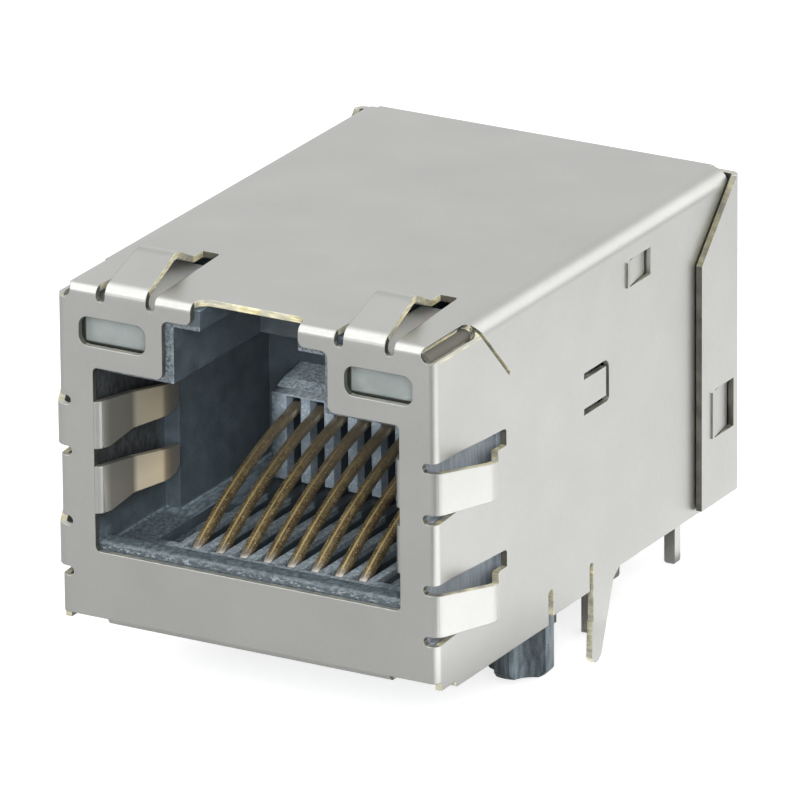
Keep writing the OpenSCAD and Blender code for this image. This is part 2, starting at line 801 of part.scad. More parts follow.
// Recesses in the housing's sides, in which the fingers can give, and for the side lance, right-hand side
module side_recesses() {
    finger_sink = 0.25;
    lance_sink = 0.4;
    lance_lead = 0.2;
    for (z = [upper_finger_z, lower_finger_z])
        translate([housing_half_w - finger_sink, -past, z - side_finger_span / 2])
            cube([finger_sink + past, finger_window_back + overlap + past, side_finger_span]);
    translate([housing_half_w - lance_sink, lance_y - lance_lead, lance_z - slide_gap])
        cube([past, housing_back, lance_h + 2 * slide_gap]);
}

function contact_x(k) = (k - 4.5) * contact_pitch;

// Moulded insulator: port, latch channel, light pockets, comb for the contacts, feet and pegs
module housing() {
    recess_back = tab_reach + overlap;
    recess_half_w = port_half_w + slide_gap;
    mouth_r = 0.15;
    corner_r = 0.1;
    shoulder_r = top_side_r + sheet;
    channel_half = latch_w / 2 - mould_inset;
    channel_top = latch_top - mould_inset;
    notch_inset = 0.2;
    notch_half = notch_w / 2 - notch_inset;
    groove_w = 0.88;
    groove_len = 4.5;
    groove_depth = 0.45;
    lip_len = 0.9;
    lip_radii = [0, 0, 0.25, 0.15];
    comb_rise = 0.25;
    comb_run = 0.5;
    comb_fall = 0.2;
    comb_roof = 0.3;
    slot_front = contact_face_y - slide_gap;
    slot_half = contact_slot_w / 2;
    slot_h = comb_top - comb_roof - cavity_floor + past;
    color(dark_blue) {
        difference() {
            union() {
                along_y(housing_front, housing_back)
                    soft_rect(-housing_half_w, housing_lift, housing_half_w, housing_top,
                        [corner_r, corner_r, shoulder_r, shoulder_r]);
                both_sides() for (y = [foot_front_y, foot_rear_y])
                    translate([housing_half_w - foot_w - foot_edge, y, 0])
                        cube([foot_w, foot_l, housing_lift + overlap]);
            }
            along_y(-past, cavity_d)
                soft_rect(-cavity_w / 2, cavity_floor, cavity_w / 2, cavity_top, even(mouth_r));
            along_y(-past, recess_back)
                soft_rect(-recess_half_w, cavity_floor, recess_half_w, cavity_top, even(mouth_r));
            along_y(-past, latch_d) {
                translate([-channel_half, cavity_top - past])
                    square([2 * channel_half, channel_top - cavity_top + past]);
                translate([-notch_half, cavity_top]) square([2 * notch_half, shield_top]);
            }
            both_sides() {
                light_pocket();
                side_recesses();
                translate([5 * contact_pitch - groove_w, contact_front_y, cavity_floor - groove_depth])
                    cube([groove_w, groove_len, past]);
            }
            translate([-pocket_half_w, pocket_front, -past])
                cube([2 * pocket_half_w, housing_back, pocket_top + past]);
            for (k = [1:8]) translate([contact_x(k) - slot_half, slot_front, pocket_top - past])
                cube([contact_slot_w, comb_slot_back - slot_front, floor_t + 2 * past]);
        }
        difference() {
            along_x(-comb_half_w, comb_half_w) polygon([
                [comb_y, pocket_top], [cavity_d + overlap, pocket_top],
                [cavity_d + overlap, comb_top + comb_rise], [comb_y + comb_run, comb_top],
                [comb_y, comb_top - comb_fall]
            ]);
            for (k = [1:8]) translate([contact_x(k) - slot_half, comb_y - past, cavity_floor - past])
                cube([contact_slot_w, comb_slot_back - comb_y + past, slot_h]);
        }
        along_x(-recess_half_w, recess_half_w) soft_rect(housing_front, cavity_floor - overlap,
            housing_front + lip_len, cavity_floor + lip_h, lip_radii);
        both_sides() peg();
    }
}

// Height of the sprung leg's middle at depth y
function leg_height(y) = let (run = y - contact_exit_y)
    contact_exit_z + contact_slope * run - contact_bow * run * run;

// Middle line of a contact: sprung leg, hairpin behind the lip, run under the floor and tail
leg_steps = 16;
function contact_line() = let (
    turn_y = contact_front_y + contact_turn_len,
    leg = [for (i = [0:leg_steps - 1]) let (y = contact_tip_y + (turn_y - contact_tip_y) * i / leg_steps)
        [y, leg_height(y)]],
    turn = [
        [turn_y, leg_height(turn_y)],
        [contact_front_y, leg_height(contact_front_y)],
        [contact_front_y, contact_run_z],
        [tail_y, contact_run_z],
        [tail_y, tail_top]
    ]
) concat(leg, softened(turn, contact_bends));

module contact(k) {
    color(gold) along_x(contact_x(k) - contact_w / 2, contact_x(k) + contact_w / 2)
        polygon(strip_outline(contact_line(), contact_t));
}

// Moulded bar under the floor that holds the contacts in grooves
module contact_carrier() {
    half = pocket_half_w - seat_gap;
    len = carrier_back - carrier_front;
    groove_w = contact_w + 2 * hole_gap;
    groove_z = contact_run_z - contact_t / 2 - hole_gap;
    nose_r = 0.4;
    color(black_plastic) difference() {
        translate([-half, carrier_front, carrier_bottom])
            cube([2 * half, len, pocket_top - seat_gap - carrier_bottom]);
        for (k = [1:8]) translate([contact_x(k) - groove_w / 2, carrier_front - past, groove_z])
            cube([groove_w, len + 2 * past, past]);
        along_x(-pocket_half_w, pocket_half_w) corner_sliver(carrier_front, carrier_bottom, 1, 1, nose_r);
    }
}

// Moulded light body behind a front window, right-hand side
module light_body() {
    x0 = light_window_x - light_w - light_body_margin;
    x1 = light_window_x + light_body_margin;
    edge_r = 0.2;
    front_r = 0.1;
    side_radii = [front_r, edge_r, edge_r, front_r];
    color(milky) intersection() {
        along_y(light_front, light_back)
            soft_rect(x0, light_body_bottom, x1, light_body_top, even(edge_r));
        along_x(x0, x1)
            soft_rect(light_front, light_body_bottom, light_back, light_body_top, side_radii);
    }
}

// Leads 1 and 2 belong to the left light, 3 and 4 to the right one
function light_lead_x(k) = [-lead_x, -lead_x + lead_pitch, lead_x - lead_pitch, lead_x][k - 1];

module light_lead(k) {
    x = light_lead_x(k);
    line = softened([[light_back, lead_z], [lead_y, lead_z], [lead_y, pin_bottom]], [lead_bend]);
    color(tin) along_x(x - pin_w / 2, x + pin_w / 2) polygon(strip_outline(line, pin_w));
}

// Pins 1 to 6 are the rear row and 7 to 10 the front row, each from left to right.
// Both rows mirror about the middle, and the front row stands half a pitch off the rear one.
function rear_share(k) = k <= 3 ? k - 3.25 : k - 3.75;
function front_share(k) = k <= 8 ? k - 8.75 : k - 8.25;
function board_pin_at(k) = k <= 6
    ? [rear_share(k) * pin_pitch, pin_rear_y]
    : [front_share(k) * pin_pitch, pin_front_y];

module board_pin(k) {
    at = board_pin_at(k);
    h = pin_w / 2;
    tip_r = 0.15;
    radii = [tip_r, tip_r, 0, 0];
    color(tin) intersection() {
        along_x(at[0] - h, at[0] + h) soft_rect(at[1] - h, pin_bottom, at[1] + h, pin_top, radii);
        along_y(at[1] - h, at[1] + h) soft_rect(at[0] - h, pin_bottom, at[0] + h, pin_top, radii);
    }
}

function cell_x(k) = (k - 2.5) * (cell_w + divider_t);

// Moulded tray with a cell for each pair of coils, sockets for the pins and guides for the light leads
module coil_tray() {
    inner_front = tray_front + tray_wall;
    inner_back = tray_back - tray_rear_wall;
    foot = 1.4;
    edge = 0.5;
    color(black_plastic) difference() {
        union() {
            translate([-tray_half_w, tray_toe, housing_lift])
                cube([2 * tray_half_w, tray_back - tray_toe, tray_floor]);
            translate([-tray_half_w, tray_front, housing_lift])
                cube([2 * tray_half_w, tray_back - tray_front, tray_top - housing_lift]);
            both_sides() translate([tray_half_w - foot - edge, pin_front_y - 2 * foot, 0])
                cube([foot, foot, housing_lift + overlap]);
        }
        for (k = [1:4]) translate([cell_x(k) - cell_w / 2, inner_front, tray_floor_top])
            cube([cell_w, inner_back - inner_front, tray_top]);
        for (k = [1:4]) translate([light_lead_x(k) - hole_w / 2, lead_y - hole_w / 2, -past])
            cube([hole_w, hole_w, tray_floor_top + 2 * past]);
        for (k = [1:10]) let (at = board_pin_at(k)) translate([at[0] - hole_w / 2, at[1] - hole_w / 2, -past])
            cube([hole_w, hole_w, pin_top + past]);
    }
}

// Small circuit board on the tray's rim, on which the contacts end
module filter_board() {
    tail_hole_r = norm([contact_w, contact_t]) / 2 + hole_gap;
    lead_hole_r = pin_w * sqrt(0.5) + hole_gap;
    color(board_green) difference() {
        along_z(tray_top, tray_top + board_t)
            soft_rect(-board_half_w, board_front, board_half_w, board_back, even(board_r));
        for (k = [1:8]) translate([contact_x(k), tail_y, tray_top - past])
            cylinder(r = tail_hole_r, h = board_t + 2 * past);
        for (k = [1:4]) translate([light_lead_x(k), lead_y, tray_top - past])
            cylinder(r = lead_hole_r, h = board_t + 2 * past);
    }
}

// Ring core with rounded edges, its axis along X
module ring_core(k, od, len, z) {
    edge_r = 0.2;
    color(ferrite) translate([cell_x(k), cell_y, z]) rotate([0, 90, 0])
        rotate_extrude() soft_rect(od * bore_share, -len / 2, od / 2, len / 2, even(edge_r));
}

// Wire wound round a ring core, left open where the ends leave it
module ring_winding(k, od, len, z) {
    bore_r = od * bore_share;
    g = winding_gap;
    t = winding_t;
    outer_r = 0.3;
    inner_r = 0.15;
    color(copper) translate([cell_x(k), cell_y, z]) rotate([0, 90, 0])
        rotate_extrude(angle = winding_turn) difference() {
            soft_rect(bore_r - t, -len / 2 - t, od / 2 + t, len / 2 + t, even(outer_r));
            soft_rect(bore_r - g, -len / 2 - g, od / 2 + g, len / 2 + g, even(inner_r));
        }
}

// Termination resistor on the filter board
module resistor(k) {
    back = 2;
    color(chip_black) translate([cell_x(k) - resistor_len / 2, tray_front + back, tray_top + board_t])
        cube([resistor_len, resistor_w, resistor_h]);
}

// High-voltage capacitor on the filter board
module capacitor() {
    edge = 0.8;
    color(chip_tan) translate([-capacitor_len / 2, board_back - capacitor_w - edge, tray_top + board_t])
        cube([capacitor_len, capacitor_w, capacitor_h]);
}

// Sets a sub-part on the board: the origin lies midway between the pegs
module on_board() {
    translate([0, -peg_y, 0]) children();
}

on_board() shield();
on_board() housing();
on_board() contact_carrier();
for (k = [1:8]) on_board() contact(k);
on_board() mirror([1, 0, 0]) light_body();  // light_left
on_board() light_body();  // light_right
for (k = [1:4]) on_board() light_lead(k);
on_board() coil_tray();
on_board() filter_board();
for (k = [1:4]) on_board() ring_core(k, coil_od, coil_len, coil_z);
for (k = [1:4]) on_board() ring_winding(k, coil_od, coil_len, coil_z);
for (k = [1:4]) on_board() ring_core(k, choke_od, choke_len, choke_z);
for (k = [1:4]) on_board() ring_winding(k, choke_od, choke_len, choke_z);
for (k = [1:4]) on_board() resistor(k);
on_board() capacitor();
for (k = [1:10]) on_board() board_pin(k);
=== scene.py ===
# Looks of a shielded modular jack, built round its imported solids
import math

import bmesh
import bpy
import numpy as np
from mathutils import Matrix, Vector
from mathutils.bvhtree import BVHTree


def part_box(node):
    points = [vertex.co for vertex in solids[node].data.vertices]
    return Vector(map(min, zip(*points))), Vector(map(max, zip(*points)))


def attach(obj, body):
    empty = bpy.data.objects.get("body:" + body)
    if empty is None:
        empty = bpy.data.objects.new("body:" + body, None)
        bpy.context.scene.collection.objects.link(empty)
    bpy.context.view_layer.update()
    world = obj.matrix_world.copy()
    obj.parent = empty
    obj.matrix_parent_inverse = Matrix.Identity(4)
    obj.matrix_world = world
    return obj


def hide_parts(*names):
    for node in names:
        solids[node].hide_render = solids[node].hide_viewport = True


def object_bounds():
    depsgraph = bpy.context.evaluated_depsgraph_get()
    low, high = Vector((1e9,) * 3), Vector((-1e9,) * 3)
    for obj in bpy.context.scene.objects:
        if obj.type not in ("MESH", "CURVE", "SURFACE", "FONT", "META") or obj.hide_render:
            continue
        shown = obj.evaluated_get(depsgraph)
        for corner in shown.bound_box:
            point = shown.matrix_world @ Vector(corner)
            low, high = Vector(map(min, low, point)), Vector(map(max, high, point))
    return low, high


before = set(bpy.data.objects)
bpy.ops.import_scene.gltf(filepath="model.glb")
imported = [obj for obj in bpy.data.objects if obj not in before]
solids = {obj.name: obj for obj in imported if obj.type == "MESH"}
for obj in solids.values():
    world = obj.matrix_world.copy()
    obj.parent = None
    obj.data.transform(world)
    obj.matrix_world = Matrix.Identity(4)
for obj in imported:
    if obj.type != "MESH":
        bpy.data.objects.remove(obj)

mm = 0.001  # scene units are metres, sizes below are millimetres
cadBox = [list(corner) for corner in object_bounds()]
scene = bpy.context.scene
scene.view_settings.view_transform = "Standard"
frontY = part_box("shield")[0].y / mm  # outer face of the front plate, from which depths count
print("frame loaded with", len(solids), "solids")


# Small helpers for material trees

def newMaterial(name):
    material = bpy.data.materials.new(name)
    material.use_nodes = True
    tree = material.node_tree
    shader = next(node for node in tree.nodes if node.type == "BSDF_PRINCIPLED")
    return material, tree, shader


def addNode(tree, kind, sockets=None, **settings):
    node = tree.nodes.new(kind)
    for key, value in settings.items():
        setattr(node, key, value)
    for key, value in (sockets or {}).items():
        node.inputs[key].default_value = value
    return node


def setShader(shader, values):  # sets each named socket
    for key, value in values.items():
        shader.inputs[key].default_value = value


def feedShader(tree, shader, sources):  # links a source to each named socket
    for key, source in sources.items():
        tree.links.new(source, shader.inputs[key])


def grey(level):
    return (level, level, level)


def grain(tree, scale, stretch=(1, 1, 1), detail=4, roughness=0.6):  # noise, scale in cells per millimetre
    place = addNode(tree, "ShaderNodeTexCoord")
    size = [axis * scale / mm for axis in stretch]
    mapping = addNode(tree, "ShaderNodeMapping", {"Scale": size})
    noise = addNode(tree, "ShaderNodeTexNoise", {"Scale": 1, "Detail": detail, "Roughness": roughness})
    tree.links.new(place.outputs["Object"], mapping.inputs["Vector"])
    tree.links.new(mapping.outputs["Vector"], noise.inputs["Vector"])
    return noise.outputs["Fac"]


def ramp(tree, fac, stops):  # stops are places with grey levels or colours
    node = addNode(tree, "ShaderNodeValToRGB")
    elements = node.color_ramp.elements
    while len(elements) < len(stops):
        elements.new(0.5)
    for element, (place, colour) in zip(elements, stops):
        element.position = place
        element.color = (*colour, 1) if isinstance(colour, tuple) else (*grey(colour), 1)
    tree.links.new(fac, node.inputs["Fac"])
    return node.outputs["Color"]


def fade(tree, fac, start, end):  # 0 up to start, 1 from end on
    return ramp(tree, fac, [(start, 0.0), (end, 1.0)])


def tintedGrain(tree, settings, stops, tints):  # noise that runs from one tint to the other
    return ramp(tree, grain(tree, *settings), list(zip(stops, tints)))


def blendColour(tree, fac, first, second):
    node = addNode(tree, "ShaderNodeMix", data_type="RGBA")
    for socket, value in ((node.inputs[0], fac), (node.inputs[6], first), (node.inputs[7], second)):
        if isinstance(value, tuple):
            socket.default_value = (*value, 1)
        elif isinstance(value, float):
            socket.default_value = value
        else:
            tree.links.new(value, socket)
    return node.outputs[2]


def product(tree, first, second):
    node = addNode(tree, "ShaderNodeMath", operation="MULTIPLY")
    for socket, value in zip(node.inputs, (first, second)):
        if isinstance(value, (int, float)):
            socket.default_value = value
        else:
            tree.links.new(value, socket)
    return node.outputs["Value"]


def storedShare(tree, name):  # a share stored on the mesh
    return addNode(tree, "ShaderNodeAttribute", attribute_name=name).outputs["Fac"]


def axisOf(tree, vector, axis):
    node = addNode(tree, "ShaderNodeSeparateXYZ")
    tree.links.new(vector, node.inputs["Vector"])
    return node.outputs[axis]


def shareBetween(tree, value, start, end):  # 0 at start, 1 at end
    reach = addNode(tree, "ShaderNodeMapRange", {"From Min": start, "From Max": end})
    tree.links.new(value, reach.inputs["Value"])
    return reach.outputs["Result"]


def spanShare(tree, value, start, end, soft):  # 1 from start to end, fading over soft inside both
    rising = shareBetween(tree, value, start, start + soft)
    return product(tree, rising, shareBetween(tree, value, end, end - soft))


def placeAlong(tree, axis):  # place on an axis of the piece, in metres
    return axisOf(tree, addNode(tree, "ShaderNodeTexCoord").outputs["Object"], axis)


def shareAlong(tree, axis, start, end):  # 0 to 1 between two places on an axis
    return shareBetween(tree, placeAlong(tree, axis), start * mm, end * mm)


def depthShare(tree, start, end):  # 0 to 1 between two depths behind the front plate
    return shareAlong(tree, "Y", frontY + start, frontY + end)


def roomShare(tree, low, high, soft=0.05):  # 1 inside a box, its corners given across, in depth and up
    share = 1.0
    for axis, base, start, end in zip("XYZ", (0, frontY, 0), low, high):
        span = spanShare(tree, placeAlong(tree, axis), (base + start) * mm, (base + end) * mm, soft * mm)
        share = product(tree, share, span)
    return share


def facingShare(tree, axis, start, end):  # share by how far a face looks along an axis
    normal = addNode(tree, "ShaderNodeNewGeometry").outputs["Normal"]
    return shareBetween(tree, axisOf(tree, normal, axis), start, end)


def addBump(tree, shader, fac, depth, strength, edge=0.0, edgeSamples=6):  # depth and edge in millimetres
    bump = addNode(tree, "ShaderNodeBump", {"Strength": strength, "Distance": depth * mm})
    tree.links.new(fac, bump.inputs["Height"])
    if edge:
        softened = addNode(tree, "ShaderNodeBevel", {"Radius": edge * mm}, samples=edgeSamples)
        tree.links.new(softened.outputs["Normal"], bump.inputs["Normal"])
    tree.links.new(bump.outputs["Normal"], shader.inputs["Normal"])


lookingUp = ("Z", 0.5, 0.9)  # axis, and the normal's shares where the finish starts and is full
lookingRight = ("X", 0.5, 0.9)
lookingAhead = ("Y", -0.5, -0.9)
lookingHalfAhead = ("Y", -0.3, -0.7)


# Plated sheet, with its base metal bare on the cut edges

sheetLook = {  # grains are scale, stretch, detail and roughness
    "fineGrain": (9, (1, 1, 0.35), 5, 0.7),
    "cloudGrain": (0.35, (1, 1, 1), 3, 0.5),
    "cloudFade": (0.3, 0.7),
    "plate": ((0.456, 0.460, 0.442), (0.488, 0.492, 0.473)),
    "dust": (0.33, 0.33, 0.31),
    "dustShare": 0.12,
    "fingerRoom": ((-8, 0.3, 13.66), (8, 2.4, 15), 0.1),  # ramps of the top fingers, darkened a little as painted shade
    "fingerShade": 0.12,
    "patchGrain": (1.6, (1, 1, 1), 3, 0.6),
    "patches": [(0.36, 0.35), (0.6, 1.0)],
    "layerGrain": (6, (0.3, 0.3, 1.5), 3, 0.6),
    "layers": [(0.38, (0.36, 0.325, 0.18)), (0.66, (0.70, 0.66, 0.44))],  # base metal
    "bareMetal": 0.3,
    "paintedEdgeShade": (0.075, 0.072, 0.058),  # painted shade on cut edges that look into the dark
    "tabs": [  # depth behind the front plate, and colour of a port tab there: plating rubbed by plugs, with painted light and shade along it
        (0.3, (0.24, 0.235, 0.215)), (0.6, (0.135, 0.13, 0.115)), (1.7, (0.12, 0.115, 0.10)),
        (2.0, (0.50, 0.45, 0.35)), (3.4, (0.60, 0.51, 0.36)), (3.65, (0.27, 0.22, 0.155)),
        (4.4, (0.20, 0.185, 0.155)),
    ],
    "upperTabs": (5.5, 7.0),  # heights between which the upper tabs turn greyer with painted shade
    "upperTabShade": (0.07, 0.072, 0.062),
    "upperShare": 0.5,
    "tabMetal": 0.35,
    # painted shade on the ears under the corner relief slots
    "shadedEar": (0.215, 0.208, 0.185),
    "earMatt": 0.8,
    "matt": [(0.25, 0.34), (0.75, 0.46)],
    "bump": (0.003, 0.4, 0.05),
}


def satinSheet():  # plate, then bare edges and edges in painted shade, rubbed tabs with painted light and shade, and ears in painted shade, laid over it by their shares
    look = sheetLook
    material, tree, shader = newMaterial("satinSheet")
    fine = grain(tree, *look["fineGrain"])
    cloudy = fade(tree, grain(tree, *look["cloudGrain"]), *look["cloudFade"])
    plate = blendColour(tree, cloudy, *look["plate"])
    plate = blendColour(tree, product(tree, fine, look["dustShare"]), plate, look["dust"])
    # painted shade on the top fingers' ramps
    fingers = product(tree, roomShare(tree, *look["fingerRoom"]), look["fingerShade"])
    plate = blendColour(tree, fingers, plate, grey(0.0))
    patch = ramp(tree, grain(tree, *look["patchGrain"]), look["patches"])
    bare = product(tree, storedShare(tree, "cutEdge"), patch)
    layers = ramp(tree, grain(tree, *look["layerGrain"]), look["layers"])
    colour = blendColour(tree, bare, plate, layers)
    # painted shade on the cut edges that look into the dark
    colour = blendColour(tree, storedShare(tree, "paintedShadeEdge"), colour, look["paintedEdgeShade"])
    tab = storedShare(tree, "tabFace")
    deepest = look["tabs"][-1][0]
    tabStops = [(depth / deepest, tint) for depth, tint in look["tabs"]]
    # tab colour by depth: rubbed plating with painted light and shade
    rubbedAndLit = ramp(tree, depthShare(tree, 0, deepest), tabStops)
    # painted shade on the upper tabs
    upper = product(tree, shareAlong(tree, "Z", *look["upperTabs"]), look["upperShare"])
    rubbedAndLit = blendColour(tree, upper, rubbedAndLit, look["upperTabShade"])
    colour = blendColour(tree, tab, colour, rubbedAndLit)
    # painted shade on the ears
    shadedEar = storedShare(tree, "earFace")
    colour = blendColour(tree, shadedEar, colour, look["shadedEar"])
    metal = blendColour(tree, bare, grey(1.0), grey(look["bareMetal"]))
    metal = blendColour(tree, tab, metal, grey(look["tabMetal"]))
    matt = blendColour(tree, shadedEar, ramp(tree, fine, look["matt"]), grey(look["earMatt"]))
    feedShader(tree, shader, {"Base Color": colour, "Metallic": metal, "Roughness": matt})
    addBump(tree, shader, fine, *look["bump"])
    return material


# Moulded plastics

evenGrain = (8, (1, 1, 1), 4, 0.7)
uprightGrain = (5, (1, 1, 0.2), 3, 0.6)

housingZones = {  # low and high corner across, in depth and up, how soft the room's edge is, and two tints
    "lip": {"room": ((-6.6, 0.2, 3.0), (6.6, 1.35, 3.9)), "grain": (7, (1, 0.5, 1), 4, 0.7),
            "tints": ((0.045, 0.06, 0.07), (0.13, 0.165, 0.185))},
    "lipFront": {"room": ((-6.6, 0.2, 3.0), (6.6, 1.35, 3.9)), "facing": lookingHalfAhead,
                 "grain": (9, (0.6, 1, 1), 3, 0.7), "tints": ((0.03, 0.04, 0.047), (0.10, 0.122, 0.135))},
    "lipGlints": {"room": ((-6.6, 0.2, 3.2), (6.6, 1.35, 3.46), 0.1), "facing": lookingHalfAhead,
                  "grain": (12, (0.45, 1, 1), 3, 0.75), "stops": (0.5, 0.76),
                  "tints": ((0.04, 0.052, 0.06), (0.42, 0.47, 0.49))},
    # painted light on the slots' right-facing walls, to look like the bars' tops
    "litSlotWalls": {"room": ((-4.6, 1.3, 2.97), (4.6, 8.2, 3.4)), "facing": lookingRight,
                  "grain": evenGrain, "tints": ((0.09, 0.115, 0.13), (0.27, 0.315, 0.345))},
    # painted light on the tops of the floor bars near the front
    "litNearBars": {"room": ((-4.6, 1.3, 2.6), (4.6, 6.6, 3.4)), "facing": lookingUp,
                 "grain": (8, (1, 0.6, 1), 4, 0.7), "tints": ((0.13, 0.165, 0.19), (0.36, 0.41, 0.44))},
    # painted shade on the far ends of the floor bars
    "shadedFarBars": {"room": ((-4.6, 8.2, 2.6), (4.6, 10.3, 3.4)), "facing": lookingUp,
                "grain": evenGrain, "tints": ((0.025, 0.03, 0.034), (0.07, 0.08, 0.09))},
    # painted shade in the recess of the left port tabs
    "shadedTabRecess": {"room": ((-7.2, -0.6, 4.0), (-5.93, 5.2, 10.9), 0.55), "grain": (5, (1, 1, 0.4), 3, 0.6),
                  "tints": ((0.020, 0.022, 0.023), (0.044, 0.048, 0.05))},
    # painted light on the front faces of the latch step
    "litLatchStep": {"room": ((-5.5, 0.2, 8.6), (5.5, 1.3, 12.7)), "facing": lookingAhead,
                  "grain": evenGrain, "tints": ((0.045, 0.056, 0.064), (0.15, 0.175, 0.188))},
    # painted top light on the floor by the left wall, weaker than elsewhere
    "leftFloorTopLight": {"room": ((-7.5, 0.8, 2.0), (-4.4, 5.0, 4.5), 0.5), "facing": lookingUp,
                  "grain": evenGrain, "tints": ((0.03, 0.04, 0.047), (0.14, 0.175, 0.195))},
    # painted light on the comb block's top
    "litCombTop": {"room": ((-4.75, 9.0, 5.9), (6.0, 13.0, 8.0), 0.6), "facing": lookingUp,
                "grain": evenGrain, "tints": ((0.18, 0.225, 0.26), (0.54, 0.615, 0.67))},
    # painted shade on the pegs under the board
    "pegs": {"room": ((-9, 7.13, -4), (9, 11.13, 0.4)), "grain": uprightGrain,
             "tints": ((0.018, 0.024, 0.028), (0.050, 0.062, 0.070))},
    # painted light on the pegs' right-facing flanks
    "litPegFlanks": {"room": ((-9, 7.13, -4), (9, 11.13, 0.4)), "facing": ("X", 0.6, 0.9),
                  "grain": uprightGrain, "tints": ((0.055, 0.072, 0.084), (0.125, 0.155, 0.175))},
}
toothZones = {
    # painted shade on the comb face's left end
    "shadedLeftEnd": {"room": ((-9, 8.5, 2), (-3.75, 12.5, 8), 0.7), "grain": (7, (1, 1, 1), 4, 0.7),
                "tints": ((0.03, 0.04, 0.047), (0.11, 0.135, 0.15))},
}
plasticTints = {
    "bluePlastic": {
        "dark": (0.032, 0.042, 0.049), "light": (0.055, 0.071, 0.082),
        "fleck": (0.12, 0.15, 0.18), "fleckFrom": 0.62,
        "scuffedAndLitTops": ((0.065, 0.088, 0.105), (0.23, 0.285, 0.325)),  # faces that look up: scuffs, and painted light from above
        "flank": ((0.17, 0.195, 0.22), (0.27, 0.30, 0.33)),  # faces under the side walls, painted lighter as if lit from the side
        "zones": housingZones,
    },
    # a much paler copy of the blue plastic: painted light on the comb face
    "litToothPlastic": {
        "dark": (0.17, 0.215, 0.26), "light": (0.33, 0.395, 0.455),
        "fleck": (0.56, 0.62, 0.67), "fleckFrom": 0.56,
        "scuffedAndLitTops": ((0.29, 0.355, 0.40), (0.70, 0.78, 0.83)),
        "zones": toothZones,
    },
    # a paler copy of the blue plastic: painted light on the floor ribs
    "litCarrierPlastic": {
        "dark": (0.20, 0.25, 0.285), "light": (0.34, 0.405, 0.45),
        "fleck": (0.48, 0.54, 0.58), "fleckFrom": 0.62,
        "scuffedAndLitTops": ((0.16, 0.20, 0.23), (0.38, 0.44, 0.48)),
    },
    "blackPlastic": {
        "dark": (0.008, 0.008, 0.009), "light": (0.016, 0.016, 0.017),
        "fleck": (0.05, 0.05, 0.055), "fleckFrom": 0.66,
    },
}
plasticLook = {
    "ior": 1.5,
    "cloudGrain": (1.2, (1, 1, 1), 4, 0.6),
    "cloudFade": (0.3, 0.72),
    "speckGrain": (14, (1, 1, 1), 2, 0.8),
    "fleckFade": 0.1,
    "scuffGrain": (7, (1, 0.3, 1), 4, 0.7),
    "scuffStops": (0.38, 0.64),
    "lineGrain": (5, (1, 1, 0.12), 3, 0.6),  # upright tool lines
    "lineStops": (0.35, 0.65),
    "flankAside": (7.1, 7.2),
    "flankFoot": (1.4, 1.5),
    "zoneStops": (0.4, 0.64),
    "matt": [(0.3, 0.5), (0.7, 0.22)],
    "bump": (0.012, 0.7, 0.06),
}


def speckledPlastic(name, tints):  # clouded base with flecks, then scuffed tops with painted top light, tooled flanks painted lighter, and zones, most of them painted light or shade
    look = plasticLook
    material, tree, shader = newMaterial(name)
    setShader(shader, {"IOR": look["ior"]})
    cloudy = fade(tree, grain(tree, *look["cloudGrain"]), *look["cloudFade"])
    speck = grain(tree, *look["speckGrain"])
    spots = fade(tree, speck, tints["fleckFrom"], tints["fleckFrom"] + look["fleckFade"])
    colour = blendColour(tree, cloudy, tints["dark"], tints["light"])
    colour = blendColour(tree, spots, colour, tints["fleck"])
    if "scuffedAndLitTops" in tints:
        scuffsAndTopLight = tintedGrain(tree, look["scuffGrain"], look["scuffStops"], tints["scuffedAndLitTops"])
        # scuffs and painted light on faces that look up
        colour = blendColour(tree, facingShare(tree, *lookingUp), colour, scuffsAndTopLight)
    # painted light on the flanks under the side walls, with upright tool lines
    if "flank" in tints:
        inner, outer = look["flankAside"]
        left = shareAlong(tree, "X", -inner, -outer)
        flank = blendColour(tree, shareAlong(tree, "X", inner, outer), left, grey(1.0))
        flank = product(tree, flank, shareAlong(tree, "Z", *look["flankFoot"]))
        litToolLines = tintedGrain(tree, look["lineGrain"], look["lineStops"], tints["flank"])
        colour = blendColour(tree, flank, colour, litToolLines)
    # zones, most of them painted light or shade
    for zone in tints.get("zones", {}).values():
        share = roomShare(tree, *zone["room"])
        if "facing" in zone:
            share = product(tree, share, facingShare(tree, *zone["facing"]))
        worn = tintedGrain(tree, zone["grain"], zone.get("stops", look["zoneStops"]), zone["tints"])
        colour = blendColour(tree, share, colour, worn)
    feedShader(tree, shader, {"Base Color": colour, "Roughness": ramp(tree, speck, look["matt"])})
    addBump(tree, shader, speck, *look["bump"])
    return material


# Contact plating: gold over a brown alloy, worn in flecks

platingLook = {
    "streakGrain": (5, (1, 0.25, 0.25), 4, 0.7),
    "streakFade": (0.52, 0.66),
    "streak": (0.42, 0.33, 0.17),
    "patchGrain": (2.2, (1, 1, 1), 3, 0.5),
    "patchFade": (0.35, 0.65),
    "brown": ((0.15, 0.105, 0.062), (0.23, 0.18, 0.10)),
    "fleckGrain": (16, (1, 1, 1), 2, 0.7),
    "fleckFade": (0.57, 0.66),
    "fleck": (0.75, 0.58, 0.27),
    "dull": (0.43, 0.365, 0.265),  # towards the tips
    "dullDepths": (5.5, 9.5),
    "dullShare": 0.75,
    "crest": (0.88, 0.69, 0.31),  # painted highlight along the crest, the face towards the plug
    "crestFade": (0.6, 0.85),
    "crestDepths": (8.6, 4.6),
    "crestShare": 0.8,
    "turn": (0.33, 0.31, 0.285),  # front end, where the leg dips into the floor
    "turnDepths": (2.8, 2.35),
    "metal": 0.75,
    "matt": [(0.3, 0.24), (0.7, 0.42)],
    "bump": (0.006, 0.5),
}


